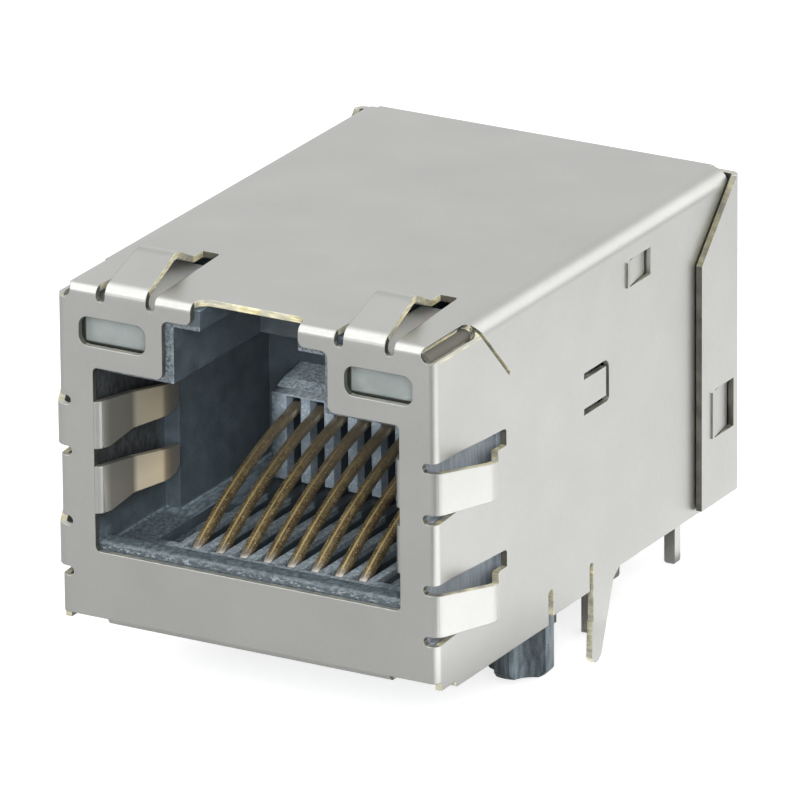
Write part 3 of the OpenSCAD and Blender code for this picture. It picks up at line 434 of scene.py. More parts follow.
def platedSpring():  # brown base, then streaks, flecks, dull tips, the painted highlight on the crest line and the front turn
    look = platingLook
    material, tree, shader = newMaterial("platedSpring")
    setShader(shader, {"Metallic": look["metal"]})
    streak = grain(tree, *look["streakGrain"])
    patchy = fade(tree, grain(tree, *look["patchGrain"]), *look["patchFade"])
    colour = blendColour(tree, patchy, *look["brown"])
    colour = blendColour(tree, fade(tree, streak, *look["streakFade"]), colour, look["streak"])
    flecks = fade(tree, grain(tree, *look["fleckGrain"]), *look["fleckFade"])
    colour = blendColour(tree, flecks, colour, look["fleck"])
    dull = product(tree, depthShare(tree, *look["dullDepths"]), look["dullShare"])
    colour = blendColour(tree, dull, colour, look["dull"])
    # painted highlight on the crest line, fading towards the back
    crest = fade(tree, storedShare(tree, "crest"), *look["crestFade"])
    crest = product(tree, crest, depthShare(tree, *look["crestDepths"]))
    colour = blendColour(tree, product(tree, crest, look["crestShare"]), colour, look["crest"])
    colour = blendColour(tree, depthShare(tree, *look["turnDepths"]), colour, look["turn"])
    feedShader(tree, shader, {"Base Color": colour, "Roughness": ramp(tree, streak, look["matt"])})
    addBump(tree, shader, streak, *look["bump"])
    return material


# Cloudy clear resin of the lights, paler on top as painted light, and dark round the windows as painted
# shadow

resinLook = {
    "shader": {"Roughness": 0.28, "IOR": 1.52, "Coat Weight": 0.3, "Coat Roughness": 0.12,
               "Subsurface Weight": 0.35, "Subsurface Scale": 0.6 * mm},
    "cloudGrain": (0.9, (1, 1, 1), 4, 0.6),
    "cloudFade": (0.3, 0.7),
    "body": ((0.145, 0.168, 0.165), (0.20, 0.218, 0.212)),
    # painted light on faces that look up
    "top": (0.60, 0.60, 0.58),
    "frame": (0.024, 0.026, 0.023),
    "windowAside": (4.20, 7.05),
    "windowHeights": (11.27, 12.43),
    "windowEdge": 0.05,
    "bump": (0.01, 0.4),
}


def milkyResin():  # the painted shadow shows on front faces outside the windows' span aside and up
    look = resinLook
    material, tree, shader = newMaterial("milkyResin")
    setShader(shader, look["shader"])
    cloud = grain(tree, *look["cloudGrain"])
    colour = blendColour(tree, fade(tree, cloud, *look["cloudFade"]), *look["body"])
    # painted light on faces that look up
    colour = blendColour(tree, facingShare(tree, *lookingUp), colour, look["top"])
    aside = addNode(tree, "ShaderNodeMath", operation="ABSOLUTE")
    tree.links.new(placeAlong(tree, "X"), aside.inputs[0])
    soft = look["windowEdge"] * mm
    near, far = (place * mm for place in look["windowAside"])
    low, high = (place * mm for place in look["windowHeights"])
    inside = product(tree, spanShare(tree, aside.outputs[0], near, far, soft),
                     spanShare(tree, placeAlong(tree, "Z"), low, high, soft))
    # painted shadow round the windows
    shadowFramed = blendColour(tree, inside, look["frame"], colour)
    colour = blendColour(tree, facingShare(tree, *lookingAhead), colour, shadowFramed)
    feedShader(tree, shader, {"Base Color": colour})
    addBump(tree, shader, cloud, *look["bump"])
    return material


# Coated board with a faint glass weave

laminateLook = {
    "shader": {"Roughness": 0.3, "Coat Weight": 0.4, "Coat Roughness": 0.15},
    "threads": 2.2,  # for each millimetre
    "gap": 0.03,
    "colours": {
        "Color1": (0.010, 0.060, 0.028),
        "Color2": (0.014, 0.085, 0.038),
        "Mortar": (0.008, 0.045, 0.022),
    },
    "bumpScale": 6,
    "bump": (0.004, 0.4),
}


def greenLaminate():  # a brick pattern at thread size gives the weave
    look = laminateLook
    material, tree, shader = newMaterial("greenLaminate")
    setShader(shader, look["shader"])
    place = addNode(tree, "ShaderNodeTexCoord")
    weave = addNode(tree, "ShaderNodeTexBrick", {"Scale": look["threads"] / mm, "Mortar Size": look["gap"]})
    for socket, colour in look["colours"].items():
        weave.inputs[socket].default_value = (*colour, 1)
    tree.links.new(place.outputs["Object"], weave.inputs["Vector"])
    feedShader(tree, shader, {"Base Color": weave.outputs["Color"]})
    addBump(tree, shader, grain(tree, look["bumpScale"]), *look["bump"])
    return material


# Plain finishes: one noise gives the colour, the gloss and the bump

chipGrain = {
    "grain": (8, (1, 1, 1), 3, 0.6),
    "matt": [(0.3, 0.5), (0.7, 0.32)],
    "bump": (0.004, 0.5),
    "cap": (0.60, 0.60, 0.57),  # metal ends
}
grainedLooks = {
    "brightTin": {
        "grain": (7, (1, 1, 0.08), 4, 0.6),
        "tints": [(0.0, (0.46, 0.46, 0.44)), (1.0, (0.62, 0.62, 0.59))],
        "matt": [(0.3, 0.22), (0.7, 0.38)],
        "bump": (0.004, 0.5),
        "shader": {"Metallic": 1.0},
    },
    "sinteredFerrite": {
        "grain": (11, (1, 1, 1), 3, 0.7),
        "tints": [(0.3, (0.012, 0.011, 0.011)), (0.7, (0.045, 0.042, 0.042))],
        "matt": [(0.3, 0.75), (0.7, 0.5)],
        "bump": (0.01, 0.7),
    },
    "enamelledCopper": {
        "grain": (3, (1, 1, 1), 3, 0.5),
        "tints": [(0.3, (0.34, 0.10, 0.03)), (0.7, (0.55, 0.20, 0.07))],
        "matt": [(0.3, 0.22), (0.7, 0.36)],
        "shader": {"Metallic": 1.0, "Coat Weight": 0.6, "Coat Roughness": 0.15},
    },
    "resistorBody": {
        **chipGrain, "tints": [(0.3, (0.006, 0.006, 0.007)), (0.7, (0.014, 0.014, 0.015))],
    },
    "capacitorBody": {
        **chipGrain, "tints": [(0.3, (0.20, 0.13, 0.06)), (0.7, (0.28, 0.19, 0.09))],
    },
}


def grainedFinish(name, look):  # the noise runs through each pair of stops
    material, tree, shader = newMaterial(name)
    setShader(shader, look.get("shader", {}))
    noise = grain(tree, *look["grain"])
    colour = ramp(tree, noise, look["tints"])
    if "cap" in look:
        cap = storedShare(tree, "endCap")
        colour = blendColour(tree, cap, colour, look["cap"])
        feedShader(tree, shader, {"Metallic": cap})
    feedShader(tree, shader, {"Base Color": colour, "Roughness": ramp(tree, noise, look["matt"])})
    if "bump" in look:
        addBump(tree, shader, noise, *look["bump"])
    return material


finishes = {name: speckledPlastic(name, tints) for name, tints in plasticTints.items()}
finishes |= {name: grainedFinish(name, look) for name, look in grainedLooks.items()}
finishes |= {"satinSheet": satinSheet(), "platedSpring": platedSpring()}
finishes |= {"milkyResin": milkyResin(), "greenLaminate": greenLaminate()}
print("materials made:", len(finishes))


# Pieces: every new mesh rides the one body and wears one finish

def addPiece(name, mesh, finish, replaced=()):  # replaced names the solids it stands for
    mesh.materials.append(finishes[finish])
    body = bpy.data.objects.new(name, mesh)
    scene.collection.objects.link(body)
    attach(body, "root")
    if replaced:
        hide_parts(*replaced)
    return body


def meshPiece(name, points, faces, finish, replaced=(), sharpAngle=50):
    mesh = bpy.data.meshes.new(name)
    mesh.from_pydata((np.asarray(points) * mm).tolist(), [], faces)
    mesh.validate()
    fix = bmesh.new()
    fix.from_mesh(mesh)
    bmesh.ops.recalc_face_normals(fix, faces=fix.faces)
    fix.to_mesh(mesh)
    fix.free()
    mesh.shade_smooth()
    mesh.set_sharp_from_angle(angle=math.radians(sharpAngle))
    return addPiece(name, mesh, finish, replaced)


def storeShare(mesh, name, values, domain="FACE"):
    mesh.attributes.new(name, "FLOAT", domain).data.foreach_set("value", np.asarray(values, np.float32))


def nodeBox(node):  # low and high corner of a solid, in millimetres
    return (np.array(corner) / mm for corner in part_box(node))


def numbered(stem, count):
    return [f"{stem}{number}" for number in range(1, count + 1)]


def gridFaces(rings, sides):  # quads of a closed tube, then a polygon at each end
    ring, side = np.meshgrid(np.arange(rings - 1), np.arange(sides), indexing="ij")
    nextSide = (side + 1) % sides
    here = ring * sides
    beyond = here + sides
    corners = (here + side, here + nextSide, beyond + nextSide, beyond + side)
    ends = [list(range(sides))[::-1], list(range((rings - 1) * sides, rings * sides))]
    return np.stack(corners, axis=-1).reshape(-1, 4).tolist() + ends


def roundedSection(width, thickness, power, sides):  # superellipse in across and out directions
    angle = np.linspace(0, 2 * np.pi, sides, endpoint=False)
    across = np.sign(np.cos(angle)) * np.abs(np.cos(angle)) ** (2 / power) * width / 2
    out = np.sign(np.sin(angle)) * np.abs(np.sin(angle)) ** (2 / power) * thickness / 2
    return across, out


# Shield skin: a copy of the folded sheet whose cut edges are marked for the bare metal, and for painted
# shade where they look into the dark

shieldSkinLook = {
    "sheet": 0.25,
    "thickest": 1.3,      # a face backed by more metal than this many sheets is a cut edge
    "rayStart": 0.001,
    "plateDepth": 0.3,    # edges in front of this belong to the front plate
    "frontShare": 0.3,    # how far those show bare metal
    "rearFrom": 5.6,
    "rearShare": 0.4,     # the same for edges further back than rearFrom
    "flankShare": 0.08,   # and for edges that look ahead there
    "legTop": 1.6,        # edges lower than this, round the legs and their slots, are bare again
    "legShare": 0.9,
    "flangeAside": 8.02,  # the back flap's flanges lie further aside than this
    "flangeShare": 1.0,
    "slitEnd": (4.0, 6.0),
    # shares of painted shade on cut edges, by their place
    "paintedEdgeShade": {"frontRight": 0.8, "slitEnd": 1.0, "flangeSlope": 0.7, "flange": 1.0},
    "square": 0.9,        # a normal's share along an axis for a face square to it
    "slitSquare": 0.85,
    "rightward": 0.4,
    "sloping": 0.2,
    "tabRoom": ((-6.6, 0.26, 2.5), (6.6, 5.0, 10.0)),  # low and high corner, in depth behind the plate
    "foldAxis": (7.35, 12.99),  # across and height of the fold between top and side
    "earRadius": 0.41,
    "earDepths": (0.125, 3.4),
    "lances": [  # hinge and tip depth, low and high edge, wall, degrees of slope and share of it taken back
        {"depths": (14.82, 16.44), "heights": (11.37, 12.46), "aside": 8.0, "slope": 14, "eased": 0.42},
        {"depths": (21.0, 22.5), "heights": (3.4, 5.35), "aside": 8.3, "slope": 12, "eased": 0.25},
    ],
    "lanceReach": 1.2,    # how far in from the wall a lance can lie
    "lanceEdge": 0.02,    # kept off a lance's hinge and sides
    "lanceFree": 0.005,   # kept off its tip and the wall
}


def meshPoints(mesh):
    points = np.empty(len(mesh.vertices) * 3, np.float32)
    mesh.vertices.foreach_get("co", points)
    return points.reshape(-1, 3)


def meshCorners(mesh):  # triangle corners as one array, triangle by corner by axis
    mesh.calc_loop_triangles()
    corners = np.empty(len(mesh.loop_triangles) * 3, np.int32)
    mesh.loop_triangles.foreach_get("vertices", corners)
    return meshPoints(mesh)[corners].reshape(-1, 3, 3)


def placesOf(points):  # across, depth behind the front plate and height, in millimetres
    return points[:, 0] / mm, points[:, 1] / mm - frontY, points[:, 2] / mm


def easeLances(mesh):  # a lance swings back by a share of its slope times the run from its hinge
    look = shieldSkinLook
    points = meshPoints(mesh)
    across, depth, height = placesOf(points)
    edge, free = look["lanceEdge"], look["lanceFree"]
    for lance in look["lances"]:
        (hinge, tip), (low, high) = lance["depths"], lance["heights"]
        inwards = lance["aside"] - np.abs(across)
        inside = (depth > hinge + edge) & (depth < tip - free)
        inside &= (height > low + edge) & (height < high - edge)
        inside &= (inwards > free) & (inwards < look["lanceReach"])
        shift = lance["eased"] * math.tan(math.radians(lance["slope"])) * (depth - hinge) * mm
        points[:, 0] += np.where(inside, np.sign(across) * shift, 0)
    mesh.vertices.foreach_set("co", points.ravel())
    mesh.update()


def cutEdgeShares(mesh):  # a ray sent inward from a face travels far only where it starts on a cut edge
    look = shieldSkinLook
    corners = meshCorners(mesh)
    centres = corners.mean(axis=1)
    normals = np.cross(corners[:, 1] - corners[:, 0], corners[:, 2] - corners[:, 0])
    normals /= np.maximum(np.linalg.norm(normals, axis=1, keepdims=True), np.finfo(np.float32).tiny)
    triangles = np.arange(len(corners) * 3).reshape(-1, 3)
    metal = BVHTree.FromPolygons(corners.reshape(-1, 3).tolist(), triangles.tolist())
    reach = look["thickest"] * look["sheet"] * mm
    starts = centres - normals * (look["rayStart"] * mm)
    cut = [metal.ray_cast(start, -normal, reach)[0] is None for start, normal in zip(starts, normals)]
    across, depth, height = placesOf(centres)
    ahead = -normals[:, 1]
    plate = depth < look["plateDepth"]
    rear = depth > look["rearFrom"]
    flange = np.abs(across) > look["flangeAside"]
    square = ahead > look["square"]
    sloping = ahead > look["sloping"]
    slitFrom, slitTo = look["slitEnd"]
    slitEnd = (depth > slitFrom) & (depth < slitTo) & (ahead > look["slitSquare"])
    frontRight = plate & (normals[:, 0] > look["rightward"])
    low = height < look["legTop"]
    shares = [look[key] for key in ("flangeShare", "legShare", "flankShare", "rearShare", "frontShare")]
    share = np.select([flange & sloping, rear & low, rear & square, rear, plate], shares, 1.0)
    # painted shade on the flanges' edges, the slit ends and the front plate's right-facing edges
    edgeShadeLevels = [look["paintedEdgeShade"][key] for key in ("flange", "flangeSlope", "slitEnd", "frontRight")]
    paintedEdgeShade = np.select([flange & rear & square, flange & rear & sloping, slitEnd, frontRight], edgeShadeLevels, 0.0)
    return np.where(cut, share, 0.0), np.where(cut, paintedEdgeShade, 0.0)


def tabAndEarFaces(mesh):  # faces in the port tabs' room, and those close round the folds' front ends
    look = shieldSkinLook
    centres = np.column_stack(placesOf(meshCorners(mesh).mean(axis=1)))
    low, high = look["tabRoom"]
    tabs = ((centres > low) & (centres < high)).all(axis=1)
    foldAcross, foldHeight = look["foldAxis"]
    aside = np.hypot(np.abs(centres[:, 0]) - foldAcross, centres[:, 2] - foldHeight)
    start, end = look["earDepths"]
    ears = (aside < look["earRadius"]) & (centres[:, 1] < end) & (centres[:, 1] > start)
    return tabs, ears


def makeShieldSkin():  # the solid's own mesh, with shares stored on its faces
    mesh = solids["shield"].data.copy()
    mesh.name = "shieldSkin"
    mesh.materials.clear()
    addPiece("shieldSkin", mesh, "satinSheet", ["shield"])
    easeLances(mesh)
    edgeShares, paintedShadeShares = cutEdgeShares(mesh)
    tabFaces, earFaces = tabAndEarFaces(mesh)
    storeShare(mesh, "cutEdge", edgeShares)
    storeShare(mesh, "paintedShadeEdge", paintedShadeShares)
    storeShare(mesh, "tabFace", tabFaces)
    storeShare(mesh, "earFace", earFaces)
    print("shield skin:", len(edgeShares), "faces,", int((edgeShares > 0).sum()), "on cut edges,",
          int(tabFaces.sum()), "on tabs,", int(earFaces.sum()), "on ears")


makeShieldSkin()


# Contacts: a rounded strip carried along the sprung leg, the hairpin, the run under the floor and the tail

contactLook = {
    "count": 8,
    "pitch": 1.016,
    "width": 0.41,
    "thickness": 0.30,
    "squareness": 5,        # power of the rounded section
    "sides": 20,
    "exit": (2.6, 3.11),    # depth and height where the leg leaves the floor
    "slope": 0.656,
    "bow": 0.0323,
    "tipDepth": 10.1,       # where the tip shows in its slot
    "legSteps": 40,
    "frontDepth": 2.25,
    "turnLength": 0.9,
    "runHeight": 1.8,
    "tail": (13.65, 11.0),  # depth and top of the tail
    "bends": (0.4, 0.4, 0.5),
    "bendLimit": 0.48,      # most of a straight length that a bend may take
    "bendSteps": 8,
    "crestShare": 0.1,      # half the crest line over the strip's width
}


def contactPlaces():  # places of the contacts across the port
    count = contactLook["count"]
    return (np.arange(count) - (count - 1) / 2) * contactLook["pitch"]


def towards(corner, other, reach):  # a point at the given reach from each corner
    step = other - corner
    length = np.linalg.norm(step, axis=1, keepdims=True)
    return corner + step * np.minimum(contactLook["bendLimit"], reach / length)


def roundedLine(points, reach):  # each inner corner becomes a quadratic curve of the given reach
    points = np.asarray(points, float)
    corner = points[1:-1]
    reach = np.asarray(reach, float)[:, None]
    start = towards(corner, points[:-2], reach)
    end = towards(corner, points[2:], reach)
    u = np.linspace(0, 1, contactLook["bendSteps"] + 1)[None, :, None]
    curves = (1 - u) ** 2 * start[:, None] + 2 * u * (1 - u) * corner[:, None] + u ** 2 * end[:, None]
    return np.vstack([points[:1], curves.reshape(-1, points.shape[1]), points[-1:]])


def legHeight(depth):  # a parabola from where the leg leaves the floor
    exitDepth, exitHeight = contactLook["exit"]
    run = depth - exitDepth
    return exitHeight + contactLook["slope"] * run - contactLook["bow"] * run ** 2


def contactLine():  # depth and height along the middle of a contact
    look = contactLook
    front, run = look["frontDepth"], look["runHeight"]
    turn = front + look["turnLength"]
    tailDepth, tailTop = look["tail"]
    depth = np.linspace(look["tipDepth"], turn, look["legSteps"])[:-1]
    leg = np.column_stack([depth, legHeight(depth)])
    hairpin = [(turn, legHeight(turn)), (front, legHeight(front)), (front, run)]
    hairpin += [(tailDepth, run), (tailDepth, tailTop)]
    return np.vstack([leg, roundedLine(hairpin, look["bends"])])


def makeContacts():  # the section stands square to the line at each of its points
    look = contactLook
    line = contactLine()
    along = np.gradient(line, axis=0)
    along /= np.linalg.norm(along, axis=1, keepdims=True)
    normal = np.column_stack([-along[:, 1], along[:, 0]])
    across, out = roundedSection(look["width"], look["thickness"], look["squareness"], look["sides"])
    strip = np.empty((len(line), look["sides"], 3))
    strip[..., 0] = across
    strip[..., 1] = line[:, None, 0] + normal[:, None, 0] * out + frontY
    strip[..., 2] = line[:, None, 1] + normal[:, None, 1] * out
    faces = gridFaces(len(line), look["sides"])
    crest = (np.abs(across) < look["crestShare"] * look["width"]) & (out < 0)  # on the face to the plug
    for number, place in enumerate(contactPlaces(), 1):
        shifted = strip.reshape(-1, 3) + [place, 0, 0]
        spring = meshPiece(f"contactSpring_{number}", shifted, faces, "platedSpring",
                           [f"contact_{number}"])
        storeShare(spring.data, "crest", np.tile(crest, len(line)), "POINT")
    print("contacts:", look["count"], "springs of", len(faces), "faces")


makeContacts()


# Comb face: a toothed strip on the front of the comb block, its top rising to the block's

combLook = {
    "depth": (9.66, 10.2),  # behind the front plate
    "foot": 3.3,
    "slotTop": 6.66,
    "slot": 0.62,
    "tops": (6.72, 6.76),   # height of the strip's front and back edge
    "half": 4.5,
}


def makeComb():  # the toothed outline, slot by slot, is carried from the near depth to the far one
    look = combLook
    half, foot, slotTop = (look[key] for key in ("half", "foot", "slotTop"))
    places = contactPlaces()
    slots = places[:, None] + look["slot"] / 2 * np.array([-1, -1, 1, 1])
    slotHeights = np.tile([foot, slotTop, slotTop, foot], len(places))
    outline = np.empty((2, slots.size + 4, 3))
    outline[..., 0] = np.concatenate([[-half], slots.ravel(), [half, half, -half]])
    outline[..., 1] = np.array(look["depth"])[:, None] + frontY
    outline[..., 2] = np.concatenate([[foot], slotHeights, [foot, 0, 0]])
    outline[:, -2:, 2] = np.array(look["tops"])[:, None]
    faces = gridFaces(*outline.shape[:2])
    meshPiece("combFace", outline.reshape(-1, 3), faces, "litToothPlastic")
    print("comb face:", len(faces), "faces")


makeComb()


# Windings: one enamelled wire wound round each ring core, inside the room of its solid sleeve

windingLook = {
    "each": 4,
    "turns": {"transformer": 16, "choke": 12},
    "wireRadius": 0.105,
    "lift": 0.135,       # from the core's face to the wire's middle
    "squareness": 8,     # power of the rounded loop
    "steps": 26,         # points on each turn
    "sides": 8,
    "sweep": 296,        # degrees of the ring that are wound
    "start": 2,
    "boreShare": 0.24,   # bore radius over the core's diameter
}


def tubeRings(path, outward, radius, sides):  # circles round a path, turned by the outward direction
    along = np.gradient(path, axis=0)
    along /= np.linalg.norm(along, axis=1, keepdims=True)
    outward = outward - along * (outward * along).sum(axis=1, keepdims=True)
    outward /= np.linalg.norm(outward, axis=1, keepdims=True)
    beside = np.cross(along, outward)
    angle = np.linspace(0, 2 * np.pi, sides, endpoint=False)[None, :, None]
    return path[:, None] + radius * (np.cos(angle) * outward[:, None] + np.sin(angle) * beside[:, None])


def windingPath(diameter, length, turns):  # a helix of rounded loops carried round the ring, axis along X
    look = windingLook
    bore = diameter * look["boreShare"]
    middle = (bore + diameter / 2) / 2
    share = np.linspace(0, 1, turns * look["steps"] + 1)
    loop = 2 * np.pi * turns * share
    ring = np.radians(look["start"] + look["sweep"] * share)
    power = 2 / look["squareness"]
    outRadial = np.sign(np.cos(loop)) * np.abs(np.cos(loop)) ** power
    outAxial = np.sign(np.sin(loop)) * np.abs(np.sin(loop)) ** power
    radial = np.column_stack([np.zeros_like(ring), np.sin(ring), -np.cos(ring)])
    axial = np.array([1.0, 0, 0])
    reach = (diameter / 2 - bore) / 2 + look["lift"]
    half = length / 2 + look["lift"]
    path = radial * (middle + outRadial * reach)[:, None] + axial * (outAxial * half)[:, None]
    return path, radial * outRadial[:, None] + axial * outAxial[:, None]


def makeWindings():  # one helix to each core, sized from the core's box
    look = windingLook
    for kind, turns in look["turns"].items():
        for number in range(1, look["each"] + 1):
            low, high = nodeBox(f"{kind}_core_{number}")
            path, outward = windingPath(high[1] - low[1], high[0] - low[0], turns)
            rings = tubeRings(path, outward, look["wireRadius"], look["sides"]) + (low + high) / 2
            faces = gridFaces(len(path), look["sides"])
            meshPiece(f"{kind}Wire_{number}", rings.reshape(-1, 3), faces, "enamelledCopper",
                      [f"{kind}_winding_{number}"])
    print("windings:", look["each"] * len(look["turns"]), "wires")


makeWindings()


# Chips on the filter board: soft-edged blocks with a metal cap at each end

chipLook = {
    "resistors": 4,
    "edge": 0.05,
    "edgeShare": 0.3,  # where the softened edge gets its middle station
    "squareness": 16,
    "sides": 40,
    "capShare": 0.17,  # length of a cap over the chip's length
}


def makeChip(node, piece, finish):  # rounded sections along X, drawn in at both ends
    look = chipLook
    low, high = nodeBox(node)
    size = high - low
    edge = look["edge"]
    rounded = edge * look["edgeShare"]
    cap = look["capShare"] * size[0]
    half = size[0] / 2
    stations = np.array([-half, rounded - half, edge - half, cap - half])
    insets = np.array([edge, rounded, 0, 0])
    stations = np.concatenate([stations, -stations[::-1]])
    insets = np.concatenate([insets, insets[::-1]])
    across, up = roundedSection(1, 1, look["squareness"], look["sides"])
    block = np.empty((len(stations), look["sides"], 3))
    block[..., 0] = stations[:, None]
    block[..., 1] = across * (size[1] - 2 * insets[:, None])
    block[..., 2] = up * (size[2] - 2 * insets[:, None])
    faces = gridFaces(len(stations), look["sides"])
    body = meshPiece(piece, block.reshape(-1, 3) + (low + high) / 2, faces, finish, [node])
    centres = np.empty(len(body.data.polygons) * 3, np.float32)
    body.data.polygons.foreach_get("center", centres)
    offset = np.abs(centres[0::3] / mm - (low[0] + high[0]) / 2)
    storeShare(body.data, "endCap", offset > half - cap)


def makeChips():  # a chip to each resistor, and one for the capacitor
    for number in range(1, chipLook["resistors"] + 1):
        makeChip(f"resistor_{number}", f"resistorChip_{number}", "resistorBody")
    makeChip("capacitor", "capacitorChip", "capacitorBody")
    print("chips made")


makeChips()


# Solder: a small fillet round every wire that ends in the filter board

solderLook = {
    "steps": 24,
    "runSteps": 6,
    "rise": 0.18,
    "spread": 0.17,
    "gap": 0.01,
    "joints": {  # wires, radius of the hole and how far the wire's middle lies inside its far face
        "tailSolder": {"wires": numbered("contact_", contactLook["count"]), "radius": 0.29, "inset": 0.15},
        "leadSolder": {"wires": numbered("light_lead_", 4), "radius": 0.36, "inset": 0.23},
    },
}


def solderFillet(hole):  # a hollow flank turned round the wire, falling as the square of the run
    look = solderLook
    run = np.linspace(0, 1, look["runSteps"])
    radius = np.concatenate([[hole], hole + look["spread"] * run])
    height = np.concatenate([[0], look["rise"] * (1 - run) ** 2])
    angle = np.linspace(0, 2 * np.pi, look["steps"], endpoint=False)[:, None]
    flank = np.empty((len(angle), len(radius), 3))
    flank[..., 0] = radius * np.cos(angle)
    flank[..., 1] = radius * np.sin(angle)
    flank[..., 2] = height
    return flank


def turnedFaces(steps, points):  # quads of a ring that closes both ways
    step, point = np.meshgrid(np.arange(steps), np.arange(points), indexing="ij")
    nextStep = (step + 1) % steps * points
    nextPoint = (point + 1) % points
    corners = (step * points + point, nextStep + point, nextStep + nextPoint, step * points + nextPoint)
    return np.stack(corners, axis=-1).reshape(-1, 4)


def makeSolder():  # one fillet round each wire, on the board's top
    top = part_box("filter_board")[1].z / mm + solderLook["gap"]
    for piece, joint in solderLook["joints"].items():
        flank = solderFillet(joint["radius"])
        boxes = np.array([list(nodeBox(wire)) for wire in joint["wires"]])
        centres = boxes.mean(axis=1)
        centres[:, 1] = boxes[:, 1, 1] - joint["inset"]
        centres[:, 2] = top
        points = flank.reshape(-1, 3) + centres[:, None]
        starts = np.arange(len(centres)) * flank[..., 0].size
        faces = turnedFaces(*flank.shape[:2]) + starts[:, None, None]
        meshPiece(piece, points.reshape(-1, 3), faces.reshape(-1, 4).tolist(), "brightTin")
    print("solder made")


makeSolder()


# Finishes of the solids that stay as they are

solidFinishes = {
    "housing": "bluePlastic",
    "contact_carrier": "litCarrierPlastic",
    "coil_tray": "blackPlastic",
    "filter_board": "greenLaminate",
    "light_left": "milkyResin",
    "light_right": "milkyResin",
    "light_lead_": "brightTin",
    "board_pin_": "brightTin",
    "transformer_core_": "sinteredFerrite",
    "choke_core_": "sinteredFerrite",
}


def dressSolids():  # numbered solids share the finish of their stem
    for name, solid in solids.items():
        finish = solidFinishes.get(name.rstrip("0123456789"))
        if finish:
            solid.data.materials.clear()
            solid.data.materials.append(finishes[finish])
    print("solids dressed")


dressSolids()


# Camera, fitted to the photo

cameraLook = {
    "eye": (208.36, -363.99, 162.91),
    "azimuth": 29.629,
    "elevation": 20.352,
    "roll": -0.471,
    "lens": 540,
    "sensor": 36,
    "clipStart": 10,
}


def placeCamera():  # the view direction comes from azimuth and elevation, then the picture is rolled
    look = cameraLook
    azimuth, elevation, roll = (math.radians(look[key]) for key in ("azimuth", "elevation", "roll"))
    level = Vector((math.cos(azimuth), math.sin(azimuth), 0))
    inward = Vector((-math.sin(azimuth), math.cos(azimuth), 0))
    ahead = inward * math.cos(elevation) - Vector((0, 0, math.sin(elevation)))
    upright = level.cross(ahead)
    right = level * math.cos(roll) + upright * math.sin(roll)
    up = upright * math.cos(roll) - level * math.sin(roll)
    data = bpy.data.cameras.new("photoCamera")
    data.lens = look["lens"]
    data.sensor_width = look["sensor"]
    data.clip_start = look["clipStart"] * mm
    camera = bpy.data.objects.new("photoCamera", data)
    scene.collection.objects.link(camera)
    turn = Matrix((right, up, -ahead)).transposed().to_4x4()
    camera.matrix_world = Matrix.Translation(Vector(look["eye"]) * mm) @ turn
    scene.camera = camera


# Stage: world, floor and a dark card that the front fold reflects

stageLook = {
    "worldLight": 0.55,
    "floorRoom": ((-2500, -2500), (2500, 2500)),
    "floorColour": (0.49, 0.49, 0.49),
    "floorGlow": 0.70,   # what the floor adds for the camera
    "floorShine": 0.0,   # what it adds in reflections
    "shadeRoom": ((11, -64), (36, -25)),
    "shadeColour": (0.05, 0.05, 0.05),
    "shadeLift": 0.1,
    "matt": 0.9,
}


def cameraSees(tree, shine=1.0):  # 1 for camera rays, shine for glossy and transmission rays
    path = addNode(tree, "ShaderNodeLightPath")
    mirrored = addNode(tree, "ShaderNodeMath", operation="MAXIMUM")
    seen = addNode(tree, "ShaderNodeMath", operation="MAXIMUM")
    tree.links.new(path.outputs["Is Glossy Ray"], mirrored.inputs[0])
    tree.links.new(path.outputs["Is Transmission Ray"], mirrored.inputs[1])
    tree.links.new(product(tree, mirrored.outputs["Value"], shine), seen.inputs[0])
    tree.links.new(path.outputs["Is Camera Ray"], seen.inputs[1])
    return seen.outputs["Value"]


def makeWorld():  # white for the rays that show it, and plain light for the rest
    world = bpy.data.worlds.new("studioWorld")
    scene.world = world
    world.use_nodes = True
    tree = world.node_tree
    tree.nodes.clear()
    white = (1, 1, 1, 1)
    out = addNode(tree, "ShaderNodeOutputWorld")
    light = addNode(tree, "ShaderNodeBackground", {"Color": white, "Strength": stageLook["worldLight"]})
    backdrop = addNode(tree, "ShaderNodeBackground", {"Color": white, "Strength": 1.0})
    mix = addNode(tree, "ShaderNodeMixShader")
    tree.links.new(cameraSees(tree), mix.inputs[0])
    tree.links.new(light.outputs[0], mix.inputs[1])
    tree.links.new(backdrop.outputs[0], mix.inputs[2])
    tree.links.new(mix.outputs[0], out.inputs["Surface"])


def stageCard(name, room, lift, colour):  # a flat matt card, lifted from the lowest place of the part
    (left, front), (right, back) = room
    height = cadBox[0][2] / mm + lift
    corners = [(left, front, height), (right, front, height), (right, back, height), (left, back, height)]
    mesh = bpy.data.meshes.new(name)
    mesh.from_pydata((np.array(corners) * mm).tolist(), [], [(0, 1, 2, 3)])
    card = bpy.data.objects.new(name, mesh)
    scene.collection.objects.link(card)
    material, tree, shader = newMaterial(name)
    setShader(shader, {"Roughness": stageLook["matt"], "Specular IOR Level": 0.0})
    setShader(shader, {"Base Color": (*colour, 1)})
    mesh.materials.append(material)
    return card, tree, shader


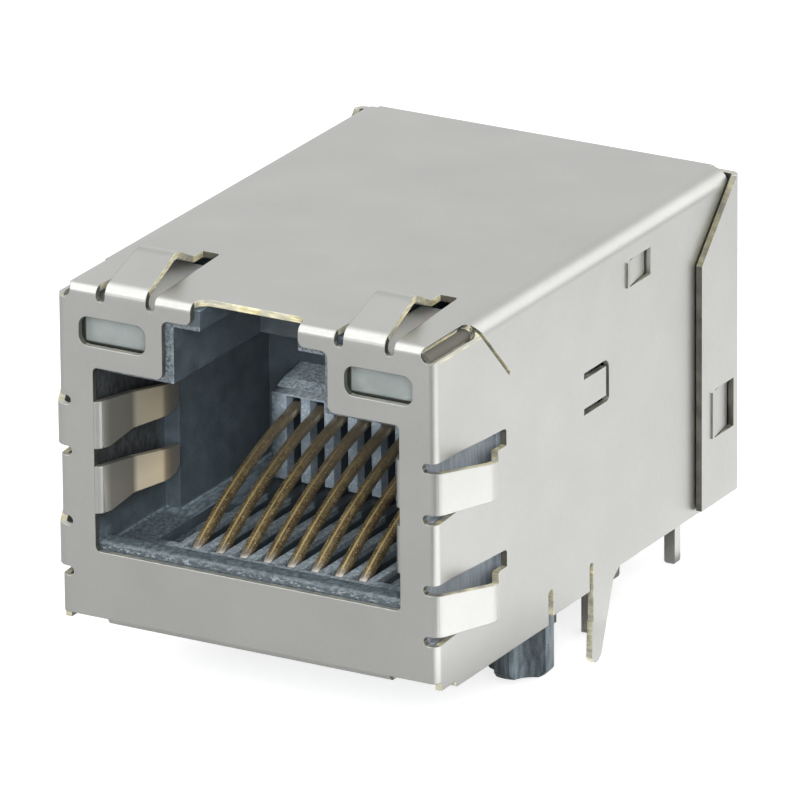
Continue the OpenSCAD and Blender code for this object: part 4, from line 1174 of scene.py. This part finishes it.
def makeFloor():  # glows for the camera, so it turns white and keeps the shadow
    look = stageLook
    floor, tree, shader = stageCard("floor", look["floorRoom"], 0, look["floorColour"])
    setShader(shader, {"Emission Color": (1, 1, 1, 1)})
    glow = product(tree, cameraSees(tree, look["floorShine"] / look["floorGlow"]), look["floorGlow"])
    feedShader(tree, shader, {"Emission Strength": glow})


def makeShade():  # seen in reflections only
    look = stageLook
    card, _, _ = stageCard("shadeCard", look["shadeRoom"], look["shadeLift"], look["shadeColour"])
    card.visible_camera = False
    card.visible_diffuse = False
    card.visible_shadow = False


# Lamps

middle = (0, 2, 5)  # of the part, where the boxes and fills aim
lampLooks = {  # place and aim in millimetres, width and depth, power in watts; a soft lamp isn't mirrored
    "overheadBox": {"place": (-144, -110, 268), "aim": middle, "size": (300, 300), "power": 0.42},
    "backBox": {"place": (220, 250, 130), "aim": middle, "size": (300, 300), "power": 0.32},
    "frontFill": {"place": (192, -345, 168), "aim": middle, "size": (260, 260), "power": 3.0, "soft": True},
    "glintBox": {"place": (-190, -340, 150), "aim": middle, "size": (80, 80), "power": 0.19},
    "sideFill": {"place": (380, -90, 110), "aim": middle, "size": (420, 420), "power": 0.6},
    "wallCard": {"place": (34, 34, -2), "aim": (34, 34, 50), "size": (50, 58), "power": 0.0060},
    "legCard": {"place": (8.5, 12, -2.68), "aim": (8.5, 12, 50), "size": (4, 19), "power": 0.00019},
    "fingerCard": {"place": (32, -8, -2), "aim": (32, -8, 50), "size": (38, 24), "power": 0.0044},
}


def placeLamps():  # a lamp's back looks along the line from its aim to its place
    for name, look in lampLooks.items():
        data = bpy.data.lights.new(name, "AREA")
        data.shape = "RECTANGLE"
        data.size, data.size_y = (length * mm for length in look["size"])
        data.energy = look["power"]
        lamp = bpy.data.objects.new(name, data)
        lamp.visible_camera = False
        lamp.visible_glossy = not look.get("soft", False)
        scene.collection.objects.link(lamp)
        place = Vector(look["place"]) * mm
        facing = (place - Vector(look["aim"]) * mm).to_track_quat("Z", "Y")
        lamp.matrix_world = Matrix.Translation(place) @ facing.to_matrix().to_4x4()


placeCamera()
makeWorld()
makeFloor()
makeShade()
placeLamps()
print("stage set with", len(lampLooks), "lamps")
